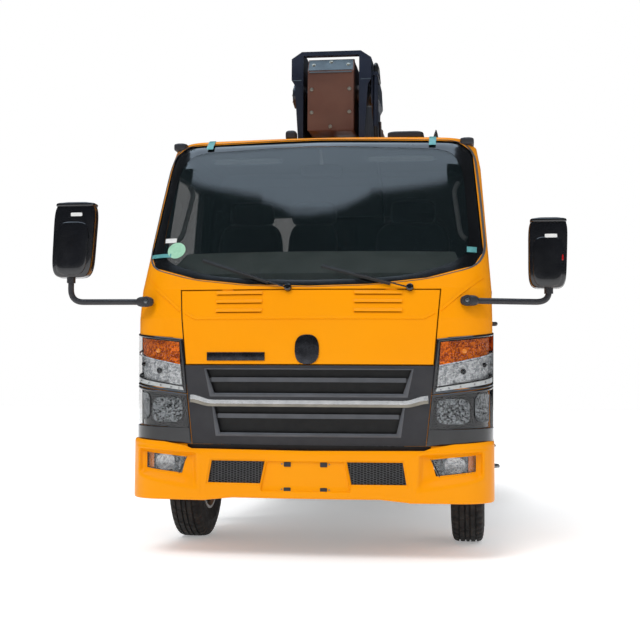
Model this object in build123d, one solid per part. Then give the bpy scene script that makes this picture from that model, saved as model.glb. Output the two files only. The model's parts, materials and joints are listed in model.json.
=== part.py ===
from build123d import *
import math
import os

os.makedirs("parts", exist_ok=True)

# Cherry picker truck: a light cab-over truck with a turret behind the cab and a telescopic boom.
# Millimetres, +Z up, ground at z = 0, the cab faces -Y, origin under the middle of the length.

# Fits and running gaps
FIT = 0.3
RUN = 6.0
PANEL_GAP = 5.0

# Cab
CAB_REAR_Y = -1295.0
CAB_WALL = 45.0
GLASS_DEPTH = 6.0
GLASS_T = 6.0
TUNNEL_HALF_W = 520.0
TUNNEL_Z = 1000.0
CAB_BOTTOM_Z = 560.0
FIREWALL_Y = -2850.0
FIREWALL_T = 25.0
FIREWALL_TOP_Z = 1470.0
# Level sections of the cab: height, half width, front on the centre line, corner radius, rear
CAB_SECTIONS = [
    (560.0, 985.0, -2946.0, 205.0, CAB_REAR_Y),
    (1300.0, 990.0, -2962.0, 205.0, CAB_REAR_Y),
    (1465.0, 986.0, -2930.0, 210.0, CAB_REAR_Y),
    (2200.0, 926.0, -2600.0, 210.0, CAB_REAR_Y - 4),
    (2330.0, 902.0, -2530.0, 205.0, CAB_REAR_Y - 14),
    (2378.0, 862.0, -2470.0, 195.0, CAB_REAR_Y - 45),
    (2402.0, 790.0, -2370.0, 175.0, CAB_REAR_Y - 105),
]
CAB_BOW = 80.0
CAB_BOW_R = 3600.0
CAB_BOW_HALF_W = 990.0
# The bow's vertex stands this far in front of the rounded front
BOW_SAG = CAB_BOW_R * (1 / math.cos(math.atan2(CAB_BOW, CAB_BOW_HALF_W)) - 1)
ROOF_Z = CAB_SECTIONS[-1][0]
ROOF_START_Z = 2250.0
# Cutting prisms run from ahead of the cab to behind its front skin, and past both sides
AHEAD_Y = -3100.0
SKIN_Y = -2700.0
WIDE_X = 1200.0

# Running gear
WHEEL_R = 388.0
TYRE_W = 195.0
BEAD_R = 205.0
FRONT_AXLE_Y = -1900.0
WHEELBASE = 3360.0
REAR_AXLE_Y = FRONT_AXLE_Y + WHEELBASE
FRONT_WHEEL_X = 845.0
KINGPIN_X = 690.0
REAR_OUTER_X = 885.0
TWIN_SPACING = 225.0
ARCH_R = 475.0
ARCH_Z = 400.0

# Chassis
RAIL_OUT_X = 430.0
RAIL_W = 60.0
RAIL_H = 180.0
RAIL_T = 8.0
RAIL_TOP_Z = 740.0
RAIL_FRONT_Y = -2865.0
RAIL_REAR_Y = 2390.0
SUB_H = 120.0
SUB_TOP_Z = RAIL_TOP_Z + SUB_H
DECK_Z = 950.0
DECK_HALF_W = 985.0
DECK_REAR_Y = 2200.0
DECK_FRONT_Y = -990.0
DECK_SHEET_T = 20.0
GUTTER_HALF_W = 170.0
GUTTER_D = 6.0

# Turret
SLEW_Y = -700.0
RING_R = 450.0
RING_Z = 1000.0
RING_H = 80.0
CHEEK_IN_X = 175.0
CHEEK_OUT_X = 250.0
LUFF_Y = -1760.0
LUFF_Z = 2800.0
LUFF_PIN_R = 40.0
PORTAL_FRONT_Y = -1990.0
PORTAL_TOP_Z = 3028.0
CHEEK_LOW_Z = 2440.0

# Boom: width, height, wall, tail and mouth of the three sections
BOOM_Z = 2750.0
OUTER_W = 290.0
OUTER_H = 460.0
OUTER_WALL = 8.0
OUTER_TAIL_Y = -2020.0
OUTER_MOUTH_Y = 1870.0
MID_W = 240.0
MID_H = 370.0
MID_TAIL_Y = -1580.0
MID_MOUTH_Y = 2000.0
INNER_W = 195.0
INNER_H = 300.0
INNER_TAIL_Y = -1480.0
INNER_MOUTH_Y = 2100.0
SECTION_WALL = 7.0
PAD_L = 160.0
TAIL_SLANT_Z = 2894.0
TAIL_SLANT_Y = -1955.0
COVER_T = 14.0

# Lift cylinder
BASE_PIN_Y = -560.0
BASE_PIN_Z = 1260.0
LUG_Y = -1200.0
LUG_Z = 2280.0
CYL_PIN_R = 30.0
BARREL_R = 70.0
ROD_R = 45.0
EYE_R = 62.0
EYE_HALF_W = 50.0
EAR_IN_X = 70.0
EAR_T = 24.0
EAR_R = 72.0

# Platform
LEVEL_Y = 2170.0
LEVEL_Z = 2490.0
LEVEL_PIN_R = 22.0
SWING_Y = 2270.0
SWING_R = 45.0
BASKET_FRONT_Y = 2445.0
BASKET_REAR_Y = 2992.0
BASKET_HALF_W = 600.0
BASKET_FLOOR_Z = 1180.0
BASKET_TOP_Z = 2300.0
TUBE_R = 19.0

# Outriggers
BEAM_Y = {"left": -1205.0, "right": -1062.0}
BOX_W = 120.0
BOX_H = 140.0
BOX_WALL = 8.0
BOX_HALF_L = 868.0
BOX_Z = RAIL_TOP_Z + BOX_H / 2
JACK_X = 935.0
JACK_R = 55.0
LEG_R = 40.0
JACK_LOW_Z = 470.0
JACK_TOP_Z = 1030.0
PAD_Z = 400.0
PAD_R = 110.0
REAR_JACK_Y = 2285.0

SIDES = {"left": -1, "right": 1}


def block(x, y, z):
    """Box between two limits on each axis."""
    size = (x[1] - x[0], y[1] - y[0], z[1] - z[0])
    middle = ((x[0] + x[1]) / 2, (y[0] + y[1]) / 2, (z[0] + z[1]) / 2)
    return Pos(*middle) * Box(*size)


def from_side(points, x):
    """Prism of an outline of (y, z) points between two x limits."""
    wire = Plane.YZ.offset(x[0]) * Polyline(*points, close=True)
    return extrude(make_face(wire), amount=x[1] - x[0], dir=(1, 0, 0))


def from_front(outline, y):
    """Prism of an outline of (x, z) points, or of a flat wire on XY, between two y limits."""
    flat = Plane(origin=(0, y[0], 0), x_dir=(1, 0, 0), z_dir=(0, -1, 0))
    wire = Polyline(*outline, close=True) if isinstance(outline, list) else outline
    return extrude(make_face(flat * wire), amount=y[1] - y[0], dir=(0, 1, 0))


def from_top(points, z):
    """Prism of an outline of (x, y) points between two heights."""
    return extrude(make_face(Plane.XY.offset(z[0]) * Polyline(*points, close=True)), amount=z[1] - z[0])


def bar(start, end, radius):
    """Round bar between two points."""
    start = Vector(*start)
    along = Vector(*end) - start
    return extrude(Plane(origin=start, z_dir=along) * Circle(radius), amount=along.length)


def pipe(points, radius, bend):
    """Round bar along straight runs with rounded corners."""
    path = FilletPolyline(*points, radius=bend)
    return sweep(Plane(origin=path @ 0, z_dir=path % 0) * Circle(radius), path=path)


def rail(points, radius):
    """Straight round tubes from point to point, with a ball at each corner."""
    run = Pos(*points[0]) * Sphere(radius)
    for start, end in zip(points, points[1:]):
        run = run + bar(start, end, radius) + Pos(*end) * Sphere(radius)
    return run


def mirrored(shape):
    """The same shape on the other side of the centre plane."""
    return mirror(shape, about=Plane.YZ)


def both(shape):
    """A shape and its mirror image."""
    return shape + mirrored(shape)


def sided(shape, side):
    """A shape drawn on the +X side, put on the named side."""
    return shape if SIDES[side] > 0 else mirrored(shape)


def box_tube(half_w, half_h, wall, y, z_mid):
    """Rectangular tube along Y with rounded outer edges."""
    outer = block((-half_w, half_w), y, (z_mid - half_h, z_mid + half_h))
    outer = fillet(outer.edges().filter_by(Axis.Y), 2 * wall)
    inner = block((wall - half_w, half_w - wall), (y[0] - 1, y[1] + 1),
                  (z_mid - half_h + wall, z_mid + half_h - wall))
    return outer - inner


# Cab body
def plan_wire(z, half_w, front, radius, rear):
    """Level outline of the cab: straight sides, round front corners and a bowed front."""
    vertex = front - BOW_SAG
    corner = vertex + CAB_BOW
    points = [(half_w, rear), (half_w, corner), (0, vertex), (-half_w, corner), (-half_w, rear)]
    line = FilletPolyline(*points, close=True, radius=[20, radius, CAB_BOW_R, radius, 20])
    return Plane.XY.offset(z) * line


def cab_body(inset):
    """Closed cab form, drawn inwards by the inset on every side and at the roof."""
    faces = []
    for z, half_w, front, radius, rear in CAB_SECTIONS:
        level = z - inset if z > ROOF_START_Z else z
        level = level + inset if z == CAB_BOTTOM_Z else level
        wire = plan_wire(level, half_w - inset, front + inset, radius - 0.8 * inset, rear - inset)
        faces.append(make_face(wire))
    return loft(faces, ruled=True)


def wheel_arch(extra=0.0):
    """Round cut through the whole width over the front wheels."""
    return bar((-WIDE_X, FRONT_AXLE_Y, ARCH_Z), (WIDE_X, FRONT_AXLE_Y, ARCH_Z), ARCH_R + extra)


# Outlines seen from the front, right half, as (x, z)
FLAP_TOP_Z = 1458.0
FLAP_RELIEF = 14.0
FLAP_LOW_Z = 1042.0
GRILLE_LOW_Z = 613.0
FLAP_TOP_X = 718.0
FLAP_LOW_X = 683.0
GRILLE_LOW_X = 637.0


def front_outline(z_low, x_low, z_top, x_top, gap=0.0):
    """Four-sided front panel outline, symmetrical, drawn in by a gap."""
    low, top = z_low + gap, z_top - gap
    return [(-x_low + gap, low), (x_low - gap, low), (x_top - gap, top), (-x_top + gap, top)]


LAMP_SPLIT_Z = 925.0
UPPER_LAMP = [(752, 1196), (1100, 1222), (1100, 925), (728, 925), (735, 1040)]
LOWER_LAMP = [(728, 917), (1100, 917), (1100, 690), (700, 676), (712, 800)]
LAMP_REAR_Y = -2640.0
LAMP_DEPTH = 30.0
SCREEN_POINTS = [(0, 1474), (330, 1484), (640, 1520), (890, 1590), (942, 1680), (880, 2290), (790, 2350),
                 (0, 2362)]


# Slanted plane behind which the windscreen does not reach, and a far rear edge, as (y, z)
SCREEN_REAR_Y = -2000.0
SCREEN_BACK = [(-2560, 1440), (-2330, 2420), (SCREEN_REAR_Y, 2420), (SCREEN_REAR_Y, 1440)]


def screen_wire(gap):
    """Windscreen outline seen from the front, drawn in by a gap."""
    full = SCREEN_POINTS + [(-x, z) for x, z in reversed(SCREEN_POINTS[1:-1])]
    face = make_face(Polyline(*full, close=True))
    return offset(face, amount=-gap) if gap else face


def screen_prism(gap=0.0):
    """Windscreen outline pushed back through the sloping front of the cab."""
    flat = Plane(origin=(0, AHEAD_Y, 0), x_dir=(1, 0, 0), z_dir=(0, -1, 0))
    prism = extrude(flat * screen_wire(gap), amount=SCREEN_REAR_Y - AHEAD_Y, dir=(0, 1, 0))
    return prism - from_side(SCREEN_BACK, (-WIDE_X, WIDE_X))


DOOR_FRONT_Y = -2590.0
DOOR_REAR_Y = -1520.0
DOOR_TOP_Z = 2262.0
DOOR_LOW_Z = 640.0
PILLAR_Z = 1500.0
PILLAR_TOP_Y = -2330.0
SILL_Z = 1480.0
DOOR_IN_X = 700.0
WINDOW_TOP_Z = DOOR_TOP_Z - 62


def door_prism(side, gap=0.0):
    """Door outline in side view, through the side wall, drawn in by a gap."""
    points = [
        (DOOR_FRONT_Y + gap, DOOR_LOW_Z + gap), (DOOR_FRONT_Y + gap, PILLAR_Z),
        (PILLAR_TOP_Y + gap, DOOR_TOP_Z - gap), (DOOR_REAR_Y - 40 - gap, DOOR_TOP_Z - gap),
        (DOOR_REAR_Y - gap, SILL_Z), (DOOR_REAR_Y - gap, DOOR_LOW_Z + gap),
    ]
    whole = from_side(points, (DOOR_IN_X, WIDE_X)) - wheel_arch(30 + gap)
    return sided(whole, side)


def door_window_prism(side, gap=0.0):
    """Side window outline in the door."""
    points = [
        (DOOR_FRONT_Y + 120 + gap, SILL_Z + gap), (PILLAR_TOP_Y + 40 + gap, WINDOW_TOP_Z - gap),
        (DOOR_REAR_Y - 100 - gap, WINDOW_TOP_Z - gap), (DOOR_REAR_Y - 68 - gap, SILL_Z + gap),
    ]
    return sided(from_side(points, (DOOR_IN_X, WIDE_X)), side)


def rear_window_prism(gap=0.0):
    """Window in the rear wall of the cab."""
    w, low, top = 520 - gap, 1620 + gap, 2080 - gap
    wire = FilletPolyline((-w, low), (w, low), (w, top), (-w, top), close=True, radius=60 - gap)
    return from_front(wire, (CAB_REAR_Y - 120, CAB_REAR_Y + 60))


def lamp_prism(points, gap=0.0):
    """Headlamp outline at the front corner, from the front."""
    face = offset(make_face(Polyline(*points, close=True)), amount=-gap) if gap else make_face(
        Polyline(*points, close=True))
    flat = Plane(origin=(0, AHEAD_Y, 0), x_dir=(1, 0, 0), z_dir=(0, -1, 0))
    return extrude(flat * face, amount=LAMP_REAR_Y - AHEAD_Y, dir=(0, 1, 0))


BODY_OUT = cab_body(0)
BODY_GLASS_OUT = cab_body(GLASS_DEPTH)
BODY_GLASS_IN = cab_body(GLASS_DEPTH + GLASS_T)
BODY_LAMP = cab_body(LAMP_DEPTH)
BODY_IN = cab_body(CAB_WALL)


def cab_walls():
    """Cab wall all round, with the wheel arches and the engine tunnel."""
    shell = BODY_OUT - BODY_IN
    housing = BODY_OUT & wheel_arch(CAB_WALL)
    tunnel_out = block((-TUNNEL_HALF_W - CAB_WALL, TUNNEL_HALF_W + CAB_WALL), (FIREWALL_Y, CAB_REAR_Y),
                       (CAB_BOTTOM_Z, TUNNEL_Z + CAB_WALL))
    firewall = BODY_OUT & block((-WIDE_X, WIDE_X), (FIREWALL_Y, FIREWALL_Y + FIREWALL_T),
                                (CAB_BOTTOM_Z, FIREWALL_TOP_Z))
    shell = shell + housing + tunnel_out + firewall
    shell = shell - wheel_arch()
    tunnel = block((-TUNNEL_HALF_W, TUNNEL_HALF_W), (AHEAD_Y, CAB_REAR_Y + 10), (CAB_BOTTOM_Z - 10, TUNNEL_Z))
    return shell - tunnel


CAB_WALLS = cab_walls()


def make_cab_shell():
    """Cab wall with the openings for doors, glass, flap, grille and lamps."""
    shell = CAB_WALLS
    for side in SIDES:
        shell = shell - door_prism(side)
    shell = shell - screen_prism() - rear_window_prism()
    nose = (AHEAD_Y, FIREWALL_Y - 1)
    front = from_front(front_outline(GRILLE_LOW_Z, GRILLE_LOW_X, FLAP_LOW_Z, FLAP_LOW_X), nose)
    front = front + from_front(front_outline(FLAP_LOW_Z, FLAP_LOW_X, FLAP_TOP_Z, FLAP_TOP_X), nose)
    relief = from_front(front_outline(FLAP_LOW_Z, FLAP_LOW_X, FLAP_TOP_Z, FLAP_TOP_X, -FLAP_RELIEF), nose)
    shell = shell - front - (relief & cab_body(FLAP_RELIEF))
    for outline in (UPPER_LAMP, LOWER_LAMP):
        pocket = lamp_prism(outline) - BODY_LAMP
        shell = shell - pocket - mirrored(pocket)
    return shell


def make_door(side):
    """Door cut from the same wall as the cab side, with its window hole."""
    door = (BODY_OUT - BODY_IN) & door_prism(side, PANEL_GAP)
    return door - door_window_prism(side)


def make_door_glass(side):
    """Side glass, flush in the window hole."""
    return (BODY_GLASS_OUT - BODY_GLASS_IN) & door_window_prism(side, FIT)


def make_cab_glass():
    """Windscreen and rear window, flush in their holes."""
    skin = BODY_GLASS_OUT - BODY_GLASS_IN
    return (skin & screen_prism(FIT)) + (skin & rear_window_prism(FIT))


# Front panels
LOUVRE_Z = (1335.0, 1385.0, 1432.0)
LOUVRE_X = (255.0, 505.0)
LOUVRE_H = 14.0
FLAP_T = 25.0
FLAP_GAP = 7.0
FLAP_LUG_Y = -2902.0


def make_front_flap():
    """Upper front panel with three louvres a side, hinged at its top edge."""
    outline = front_outline(FLAP_LOW_Z, FLAP_LOW_X, FLAP_TOP_Z, FLAP_TOP_X, FLAP_GAP)
    flap = (BODY_OUT - cab_body(FLAP_T)) & from_front(outline, (AHEAD_Y, SKIN_Y))
    for z in LOUVRE_Z:
        slot = block(LOUVRE_X, (AHEAD_Y, SKIN_Y), (z - LOUVRE_H / 2, z + LOUVRE_H / 2))
        flap = flap - slot - mirrored(slot)
    lug = block((420, 480), (FLAP_LUG_Y, FLAP_LUG_Y + 18), (FLAP_TOP_Z - 12, FLAP_TOP_Z - FIT))
    return flap + both(lug)


GRILLE_T = 30.0
SLAT_H = 22.0
GRILLE_BARS = [
    # recess low and top, half width low and top, slat height
    (892.0, 1018.0, 515.0, 560.0, 962.0),
    (678.0, 822.0, 480.0, 515.0, 766.0),
]


def make_grille():
    """Lower front panel with two deep recesses, each with a slat, and the strip between."""
    outline = front_outline(GRILLE_LOW_Z, GRILLE_LOW_X, FLAP_LOW_Z, FLAP_LOW_X, FIT)
    depth = from_front(outline, (AHEAD_Y, SKIN_Y))
    panel = (BODY_OUT - cab_body(GRILLE_T)) & depth
    floor = cab_body(GRILLE_T - 6)
    for low, top, x_low, x_top, slat in GRILLE_BARS:
        recess = from_front([(-x_low, low), (x_low, low), (x_top, top), (-x_top, top)], (AHEAD_Y, SKIN_Y))
        across = block((-x_top - 8, x_top + 8), (AHEAD_Y, SKIN_Y), (slat - SLAT_H / 2, slat + SLAT_H / 2))
        panel = panel - (recess - floor) + ((cab_body(6) - cab_body(GRILLE_T - 5)) & across & depth)
    return panel


BUMPER_FRONT_Y = -2995.0
BUMPER_HALF_W = 1000.0
BUMPER_REAR_Y = -2385.0
BUMPER_LOW_Z = 312.0
BUMPER_T = 10.0
RECESS_D = 12.0
RECESS_T = 6.0
SCOOP_D = 14.0
FOG_DEPTH = 20.0
MESH_T = 6.0
PLATE_HOLES_X = 98.0
PLATE_HOLES_Z = (377.0, 512.0)
PLATE_HOLE_R = 3.5


def bumper_form(inset):
    """Plan form of the bumper over its full height."""
    vertex = BUMPER_FRONT_Y - BOW_SAG
    corner = vertex + CAB_BOW
    points = [(BUMPER_HALF_W - inset, -2200), (BUMPER_HALF_W - inset, corner + inset), (0, vertex + inset),
              (-BUMPER_HALF_W + inset, corner + inset), (-BUMPER_HALF_W + inset, -2200)]
    wire = FilletPolyline(*points, close=True, radius=[10, 210 - inset, CAB_BOW_R, 210 - inset, 10])
    return extrude(make_face(Plane.XY.offset(BUMPER_LOW_Z - 20) * wire), amount=400)


# Bumper outline from the front, right half
BUMPER_EDGE = [(0, 330), (495, 330), (530, BUMPER_LOW_Z), (WIDE_X, BUMPER_LOW_Z), (WIDE_X, DOOR_LOW_Z),
               (BUMPER_HALF_W - 20, DOOR_LOW_Z), (750, 622), (640, 590), (0, 585)]
MESH_HOLE = [(215, 528), (515, 528), (545, 408), (250, 408)]
PLATE_RECESS = [(-208, 531), (208, 531), (246, 366), (-246, 366)]
FOG_HOLE = [(665, 545), (905, 570), (905, 478), (712, 452)]
FOG_SCOOP = [(600, 566), (928, 590), (928, 436), (590, 368)]


def wider(points, margin):
    """An outline of (x, z) points grown by a margin on every side."""
    face = offset(make_face(Polyline(*points, close=True)), amount=margin, kind=Kind.INTERSECTION)
    return [(vertex.X, vertex.Y) for vertex in face.face().outer_wire().order_edges().vertices()]


def pressed(skin, outline, depth):
    """Bumper skin pressed in by a depth inside an outline, with an upright wall round the floor."""
    inside = from_front(outline, (AHEAD_Y, SKIN_Y))
    wall = from_front(wider(outline, RECESS_T), (AHEAD_Y, SKIN_Y)) - inside
    floor = bumper_form(depth) - bumper_form(depth + RECESS_T)
    return skin - (inside - bumper_form(depth)) + (floor & inside) + (
        (bumper_form(2) - bumper_form(depth + RECESS_T)) & wall)


def make_bumper():
    """Wrap-round bumper with mesh openings, scooped fog lamp pockets and a number-plate recess."""
    edge = BUMPER_EDGE + [(-x, z) for x, z in reversed(BUMPER_EDGE[1:-1])]
    skin = (bumper_form(0) - bumper_form(BUMPER_T)) & from_front(edge, (AHEAD_Y, BUMPER_REAR_Y))
    skin = pressed(skin, PLATE_RECESS, RECESS_D)
    skin = pressed(skin, FOG_SCOOP, SCOOP_D)
    skin = pressed(skin, [(-x, z) for x, z in reversed(FOG_SCOOP)], SCOOP_D)
    hole = from_front(MESH_HOLE, (AHEAD_Y, SKIN_Y)) + from_front(FOG_HOLE, (AHEAD_Y, SKIN_Y))
    skin = skin - hole - mirrored(hole)
    for x in (-PLATE_HOLES_X, PLATE_HOLES_X):
        for z in PLATE_HOLES_Z:
            skin = skin - bar((x, AHEAD_Y, z), (x, SKIN_Y, z), PLATE_HOLE_R)
    mount = block((RAIL_OUT_X - RAIL_W, RAIL_OUT_X), (BUMPER_FRONT_Y, RAIL_FRONT_Y - FIT), (570, 584))
    mount = mount & bumper_form(BUMPER_T - 3)
    mesh = bumper_form(BUMPER_T - 2) - bumper_form(BUMPER_T - 2 + MESH_T)
    mesh = mesh & from_front(MESH_HOLE, (AHEAD_Y, SKIN_Y))
    return skin + both(mount) + both(mesh)


# Lamps
MARKER_LAMP = ((812, 880), (-2440, -2330), (2335, 2396))
ROOF_LAMP = ((378, 590), (-2300, -2150), (ROOF_Z + FIT, ROOF_Z + 45))


def make_lamps():
    """Head, fog, marker, roof and tail lamps."""
    lamps = Part()
    for outline in (UPPER_LAMP, LOWER_LAMP):
        lens = (lamp_prism(outline, FIT) & BODY_OUT) - cab_body(LAMP_DEPTH - FIT)
        lamps = lamps + both(lens)
    fog = bumper_form(SCOOP_D + 2) - bumper_form(SCOOP_D + FOG_DEPTH)
    lamps = lamps + both(fog & offset_front(FOG_HOLE, FIT, (AHEAD_Y, SKIN_Y)))
    marker = block(*MARKER_LAMP) - BODY_OUT
    lamps = lamps + both(marker) + block(*ROOF_LAMP)
    tail = block((560, 860), (REAR_BAR_Y + FIT, REAR_BAR_Y + 32), (465, 548))
    return lamps + both(tail)


def offset_front(points, gap, y):
    """Prism of a front outline drawn in by a gap."""
    face = offset(make_face(Polyline(*points, close=True)), amount=-gap)
    flat = Plane(origin=(0, y[0], 0), x_dir=(1, 0, 0), z_dir=(0, -1, 0))
    return extrude(flat * face, amount=y[1] - y[0], dir=(0, 1, 0))


# Mirrors: side, middle y, inner and outer x, low and top z of the housing, x of the tube, x of the foot
MIRRORS = [
    ("left", -2900.0, 1209.0, 1462.0, 1527.0, 1952.0, 1343.0, 905.0),
    ("right", -2760.0, 1174.0, 1396.0, 1466.0, 1852.0, 1292.0, 857.0),
]
MIRROR_ARM_Z = 1392.0
MIRROR_ARM_R = 16.0
MIRROR_FOOT = (56.0, 64.0)
MIRROR_FOOT_Y = -2912.0


def make_mirrors():
    """Mirror housings on bent tube arms from brackets at the front corners."""
    group = Part()
    for side, y, x_in, x_out, low, top, x_tube, x_foot in MIRRORS:
        shell = block((x_in, x_out), (y - 60, y + 40), (low, top))
        shell = fillet(shell.edges(), 28)
        foot = block((x_foot - MIRROR_FOOT[0] / 2, x_foot + MIRROR_FOOT[0] / 2), (MIRROR_FOOT_Y, SKIN_Y),
                     (MIRROR_ARM_Z - MIRROR_FOOT[1] / 2, MIRROR_ARM_Z + MIRROR_FOOT[1] / 2)) - BODY_OUT
        arm = pipe([(x_tube, y, low + 30), (x_tube, y, MIRROR_ARM_Z),
                    (x_foot, MIRROR_FOOT_Y + 22, MIRROR_ARM_Z)],
                   MIRROR_ARM_R, 45)
        group = group + sided(shell + (arm - BODY_OUT) + foot, side)
    return group


WIPER_Z = 1466.0
WIPER_POST_R = 11.0
WIPER_ARM_R = 6.0
WIPER_TIP_Z = 1612.0
# Post x and outer y, tip x and y
WIPERS = [(-107, -2955, -566, -2846), (560, -2920, 80, -2895)]


def make_wipers():
    """Two wiper arms with blades, lying along the foot of the windscreen."""
    group = Part()
    for x_post, y_post, x_tip, y_tip in WIPERS:
        post = bar((x_post, SKIN_Y, WIPER_Z), (x_post, y_post, WIPER_Z), WIPER_POST_R) - BODY_OUT
        arm = bar((x_post, y_post + 6, WIPER_Z), (x_tip, y_tip, WIPER_TIP_Z), WIPER_ARM_R)
        group = group + post + arm
    return group


# Seats and controls
# Middle x and half width of the driver's seat and of the passenger bench
SEATS = [(480.0, 250.0), (-420.0, 400.0)]
CUSHION_Z = (1260.0, 1400.0)


def make_seats():
    """Driver's seat and a passenger bench on low bases."""
    group = Part()
    for x_mid, half in SEATS:
        base = block((x_mid - half + 60, x_mid + half - 60), (-2080, -1640),
                     (TUNNEL_Z + CAB_WALL, CUSHION_Z[0]))
        cushion = block((x_mid - half, x_mid + half), (-2140, -1600), CUSHION_Z)
        cushion = fillet(cushion.edges(), 40)
        back = from_side([(-1690, 1330), (-1590, 1330), (-1440, 2010), (-1520, 2030)],
                         (x_mid - half + 20, x_mid + half - 20))
        back = fillet(back.edges().filter_by(Axis.X), 25)
        group = group + base + cushion + back
    return group


DASH_BODY_INSET = CAB_WALL + FIT


def make_dashboard():
    """Dashboard across the cab with an instrument hood over the steering column."""
    slab = from_side([(-2900, 1200), (-2560, 1200), (-2480, 1330), (-2560, 1470), (-2900, 1500)], (-960, 960))
    hood = from_side([(-2700, 1440), (-2500, 1420), (-2520, 1510), (-2640, 1530)], (270, 660))
    inside = cab_body(DASH_BODY_INSET) & block((-1000, 1000), (FIREWALL_Y + FIREWALL_T + FIT, 0), (0, 3000))
    return (slab + hood) & inside


WHEEL_HUB = (455.0, -2360.0, 1480.0)
COLUMN_FOOT = (455.0, -2560.0, 1325.0)


def make_steering_wheel():
    """Three-spoke wheel on its column, tilted towards the driver."""
    tilt = Plane(origin=WHEEL_HUB, z_dir=(0, 0.42, 0.91))
    rim = tilt * Torus(205, 14)
    hub = tilt * Cylinder(55, 40)
    spokes = Part()
    for angle in (90, 210, 330):
        spokes = spokes + tilt * Rot(0, 0, angle) * Pos(125, 0, 0) * Box(160, 30, 12)
    column = bar(WHEEL_HUB, COLUMN_FOOT, 28) - make_dashboard()
    return rim + hub + spokes + column.solids().sort_by(Axis.Y)[-1]


# Chassis
CROSS_Y = (-2700.0, -1450.0, -250.0, 600.0, 1000.0, 1900.0, 2320.0)
CAB_MOUNT_Y = (-2600.0, -1345.0)


def make_chassis_frame():
    """Ladder frame: two channel rails, cross members and the cab mounts."""
    low = RAIL_TOP_Z - RAIL_H
    web = block((RAIL_OUT_X - RAIL_T, RAIL_OUT_X), (RAIL_FRONT_Y, RAIL_REAR_Y), (low, RAIL_TOP_Z))
    whole_y = (RAIL_FRONT_Y, RAIL_REAR_Y)
    top = block((RAIL_OUT_X - RAIL_W, RAIL_OUT_X), whole_y, (RAIL_TOP_Z - RAIL_T, RAIL_TOP_Z))
    bottom = block((RAIL_OUT_X - RAIL_W, RAIL_OUT_X), whole_y, (low, low + RAIL_T))
    frame = both(web + top + bottom)
    for y in CROSS_Y:
        frame = frame + block((-RAIL_OUT_X + RAIL_T, RAIL_OUT_X - RAIL_T), (y - 35, y + 35),
                              (RAIL_TOP_Z - 78, RAIL_TOP_Z - RAIL_T))
    front_y = (CAB_MOUNT_Y[0] - 60, CAB_MOUNT_Y[0] + 60)
    rear_y = (CAB_MOUNT_Y[1] - 40, CAB_MOUNT_Y[1] + 40)
    foot = block((RAIL_OUT_X, 640), front_y, (low - 40, low - FIT))
    foot = foot + block((RAIL_OUT_X - RAIL_T, RAIL_OUT_X + 20), front_y, (low - 40, low + 60))
    post = block((RAIL_OUT_X - RAIL_W, RAIL_OUT_X), rear_y, (RAIL_TOP_Z, TUNNEL_Z - FIT))
    beam = block((-RAIL_OUT_X, RAIL_OUT_X), rear_y, (TUNNEL_Z - 60, TUNNEL_Z - FIT))
    return frame + both(foot + post) + beam


PEDESTAL_Y = (-990.0, -380.0)
REAR_BOX_W = 110.0


def outrigger_box(y):
    """Square housing across the truck in which a beam slides."""
    half_w, half_h = BOX_W / 2, BOX_H / 2
    outer = block((-BOX_HALF_L, BOX_HALF_L), (y - half_w, y + half_w), (BOX_Z - half_h, BOX_Z + half_h))
    inner = block((-BOX_HALF_L - 1, BOX_HALF_L + 1), (y - half_w + BOX_WALL, y + half_w - BOX_WALL),
                  (BOX_Z - half_h + BOX_WALL, BOX_Z + half_h - BOX_WALL))
    return outer - inner


def jack_tube(x, y):
    """Upright jack housing with a cap."""
    tube = bar((x, y, JACK_LOW_Z), (x, y, JACK_TOP_Z), JACK_R)
    bore = bar((x, y, JACK_LOW_Z - 1), (x, y, JACK_TOP_Z - 12), LEG_R + FIT)
    return tube - bore


def make_subframe():
    """Subframe rails, turret pedestal, outrigger housings and the fixed rear jacks."""
    rails = both(block((RAIL_OUT_X - RAIL_W, RAIL_OUT_X), (PEDESTAL_Y[0], RAIL_REAR_Y),
                       (RAIL_TOP_Z, SUB_TOP_Z)))
    pedestal = block((-RAIL_OUT_X, RAIL_OUT_X), PEDESTAL_Y, (SUB_TOP_Z - 20, RING_Z))
    pedestal = pedestal - bar((0, SLEW_Y, SUB_TOP_Z - 30), (0, SLEW_Y, RING_Z + 1), 250)
    plate = bar((0, SLEW_Y, RING_Z - 25), (0, SLEW_Y, RING_Z), RING_R) - bar(
        (0, SLEW_Y, RING_Z - 30), (0, SLEW_Y, RING_Z + 1), 250)
    sub = rails + pedestal + plate
    for side in SIDES:
        sub = sub + outrigger_box(BEAM_Y[side])
    rear = block((-JACK_X + JACK_R - 12, JACK_X - JACK_R + 12),
                 (REAR_JACK_Y - REAR_BOX_W / 2, REAR_JACK_Y + REAR_BOX_W / 2), (RAIL_TOP_Z, SUB_TOP_Z + 20))
    rear = rear - block((-820, 820), (REAR_JACK_Y - REAR_BOX_W / 2 + 8, REAR_JACK_Y + REAR_BOX_W / 2 - 8),
                        (RAIL_TOP_Z + 8, SUB_TOP_Z + 12))
    jacks = Part()
    for side in SIDES:
        jacks = jacks + jack_tube(SIDES[side] * JACK_X, REAR_JACK_Y)
    rear = rear - both(bar((JACK_X, REAR_JACK_Y, 0), (JACK_X, REAR_JACK_Y, 1200), LEG_R + FIT))
    return sub + rear + jacks


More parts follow.
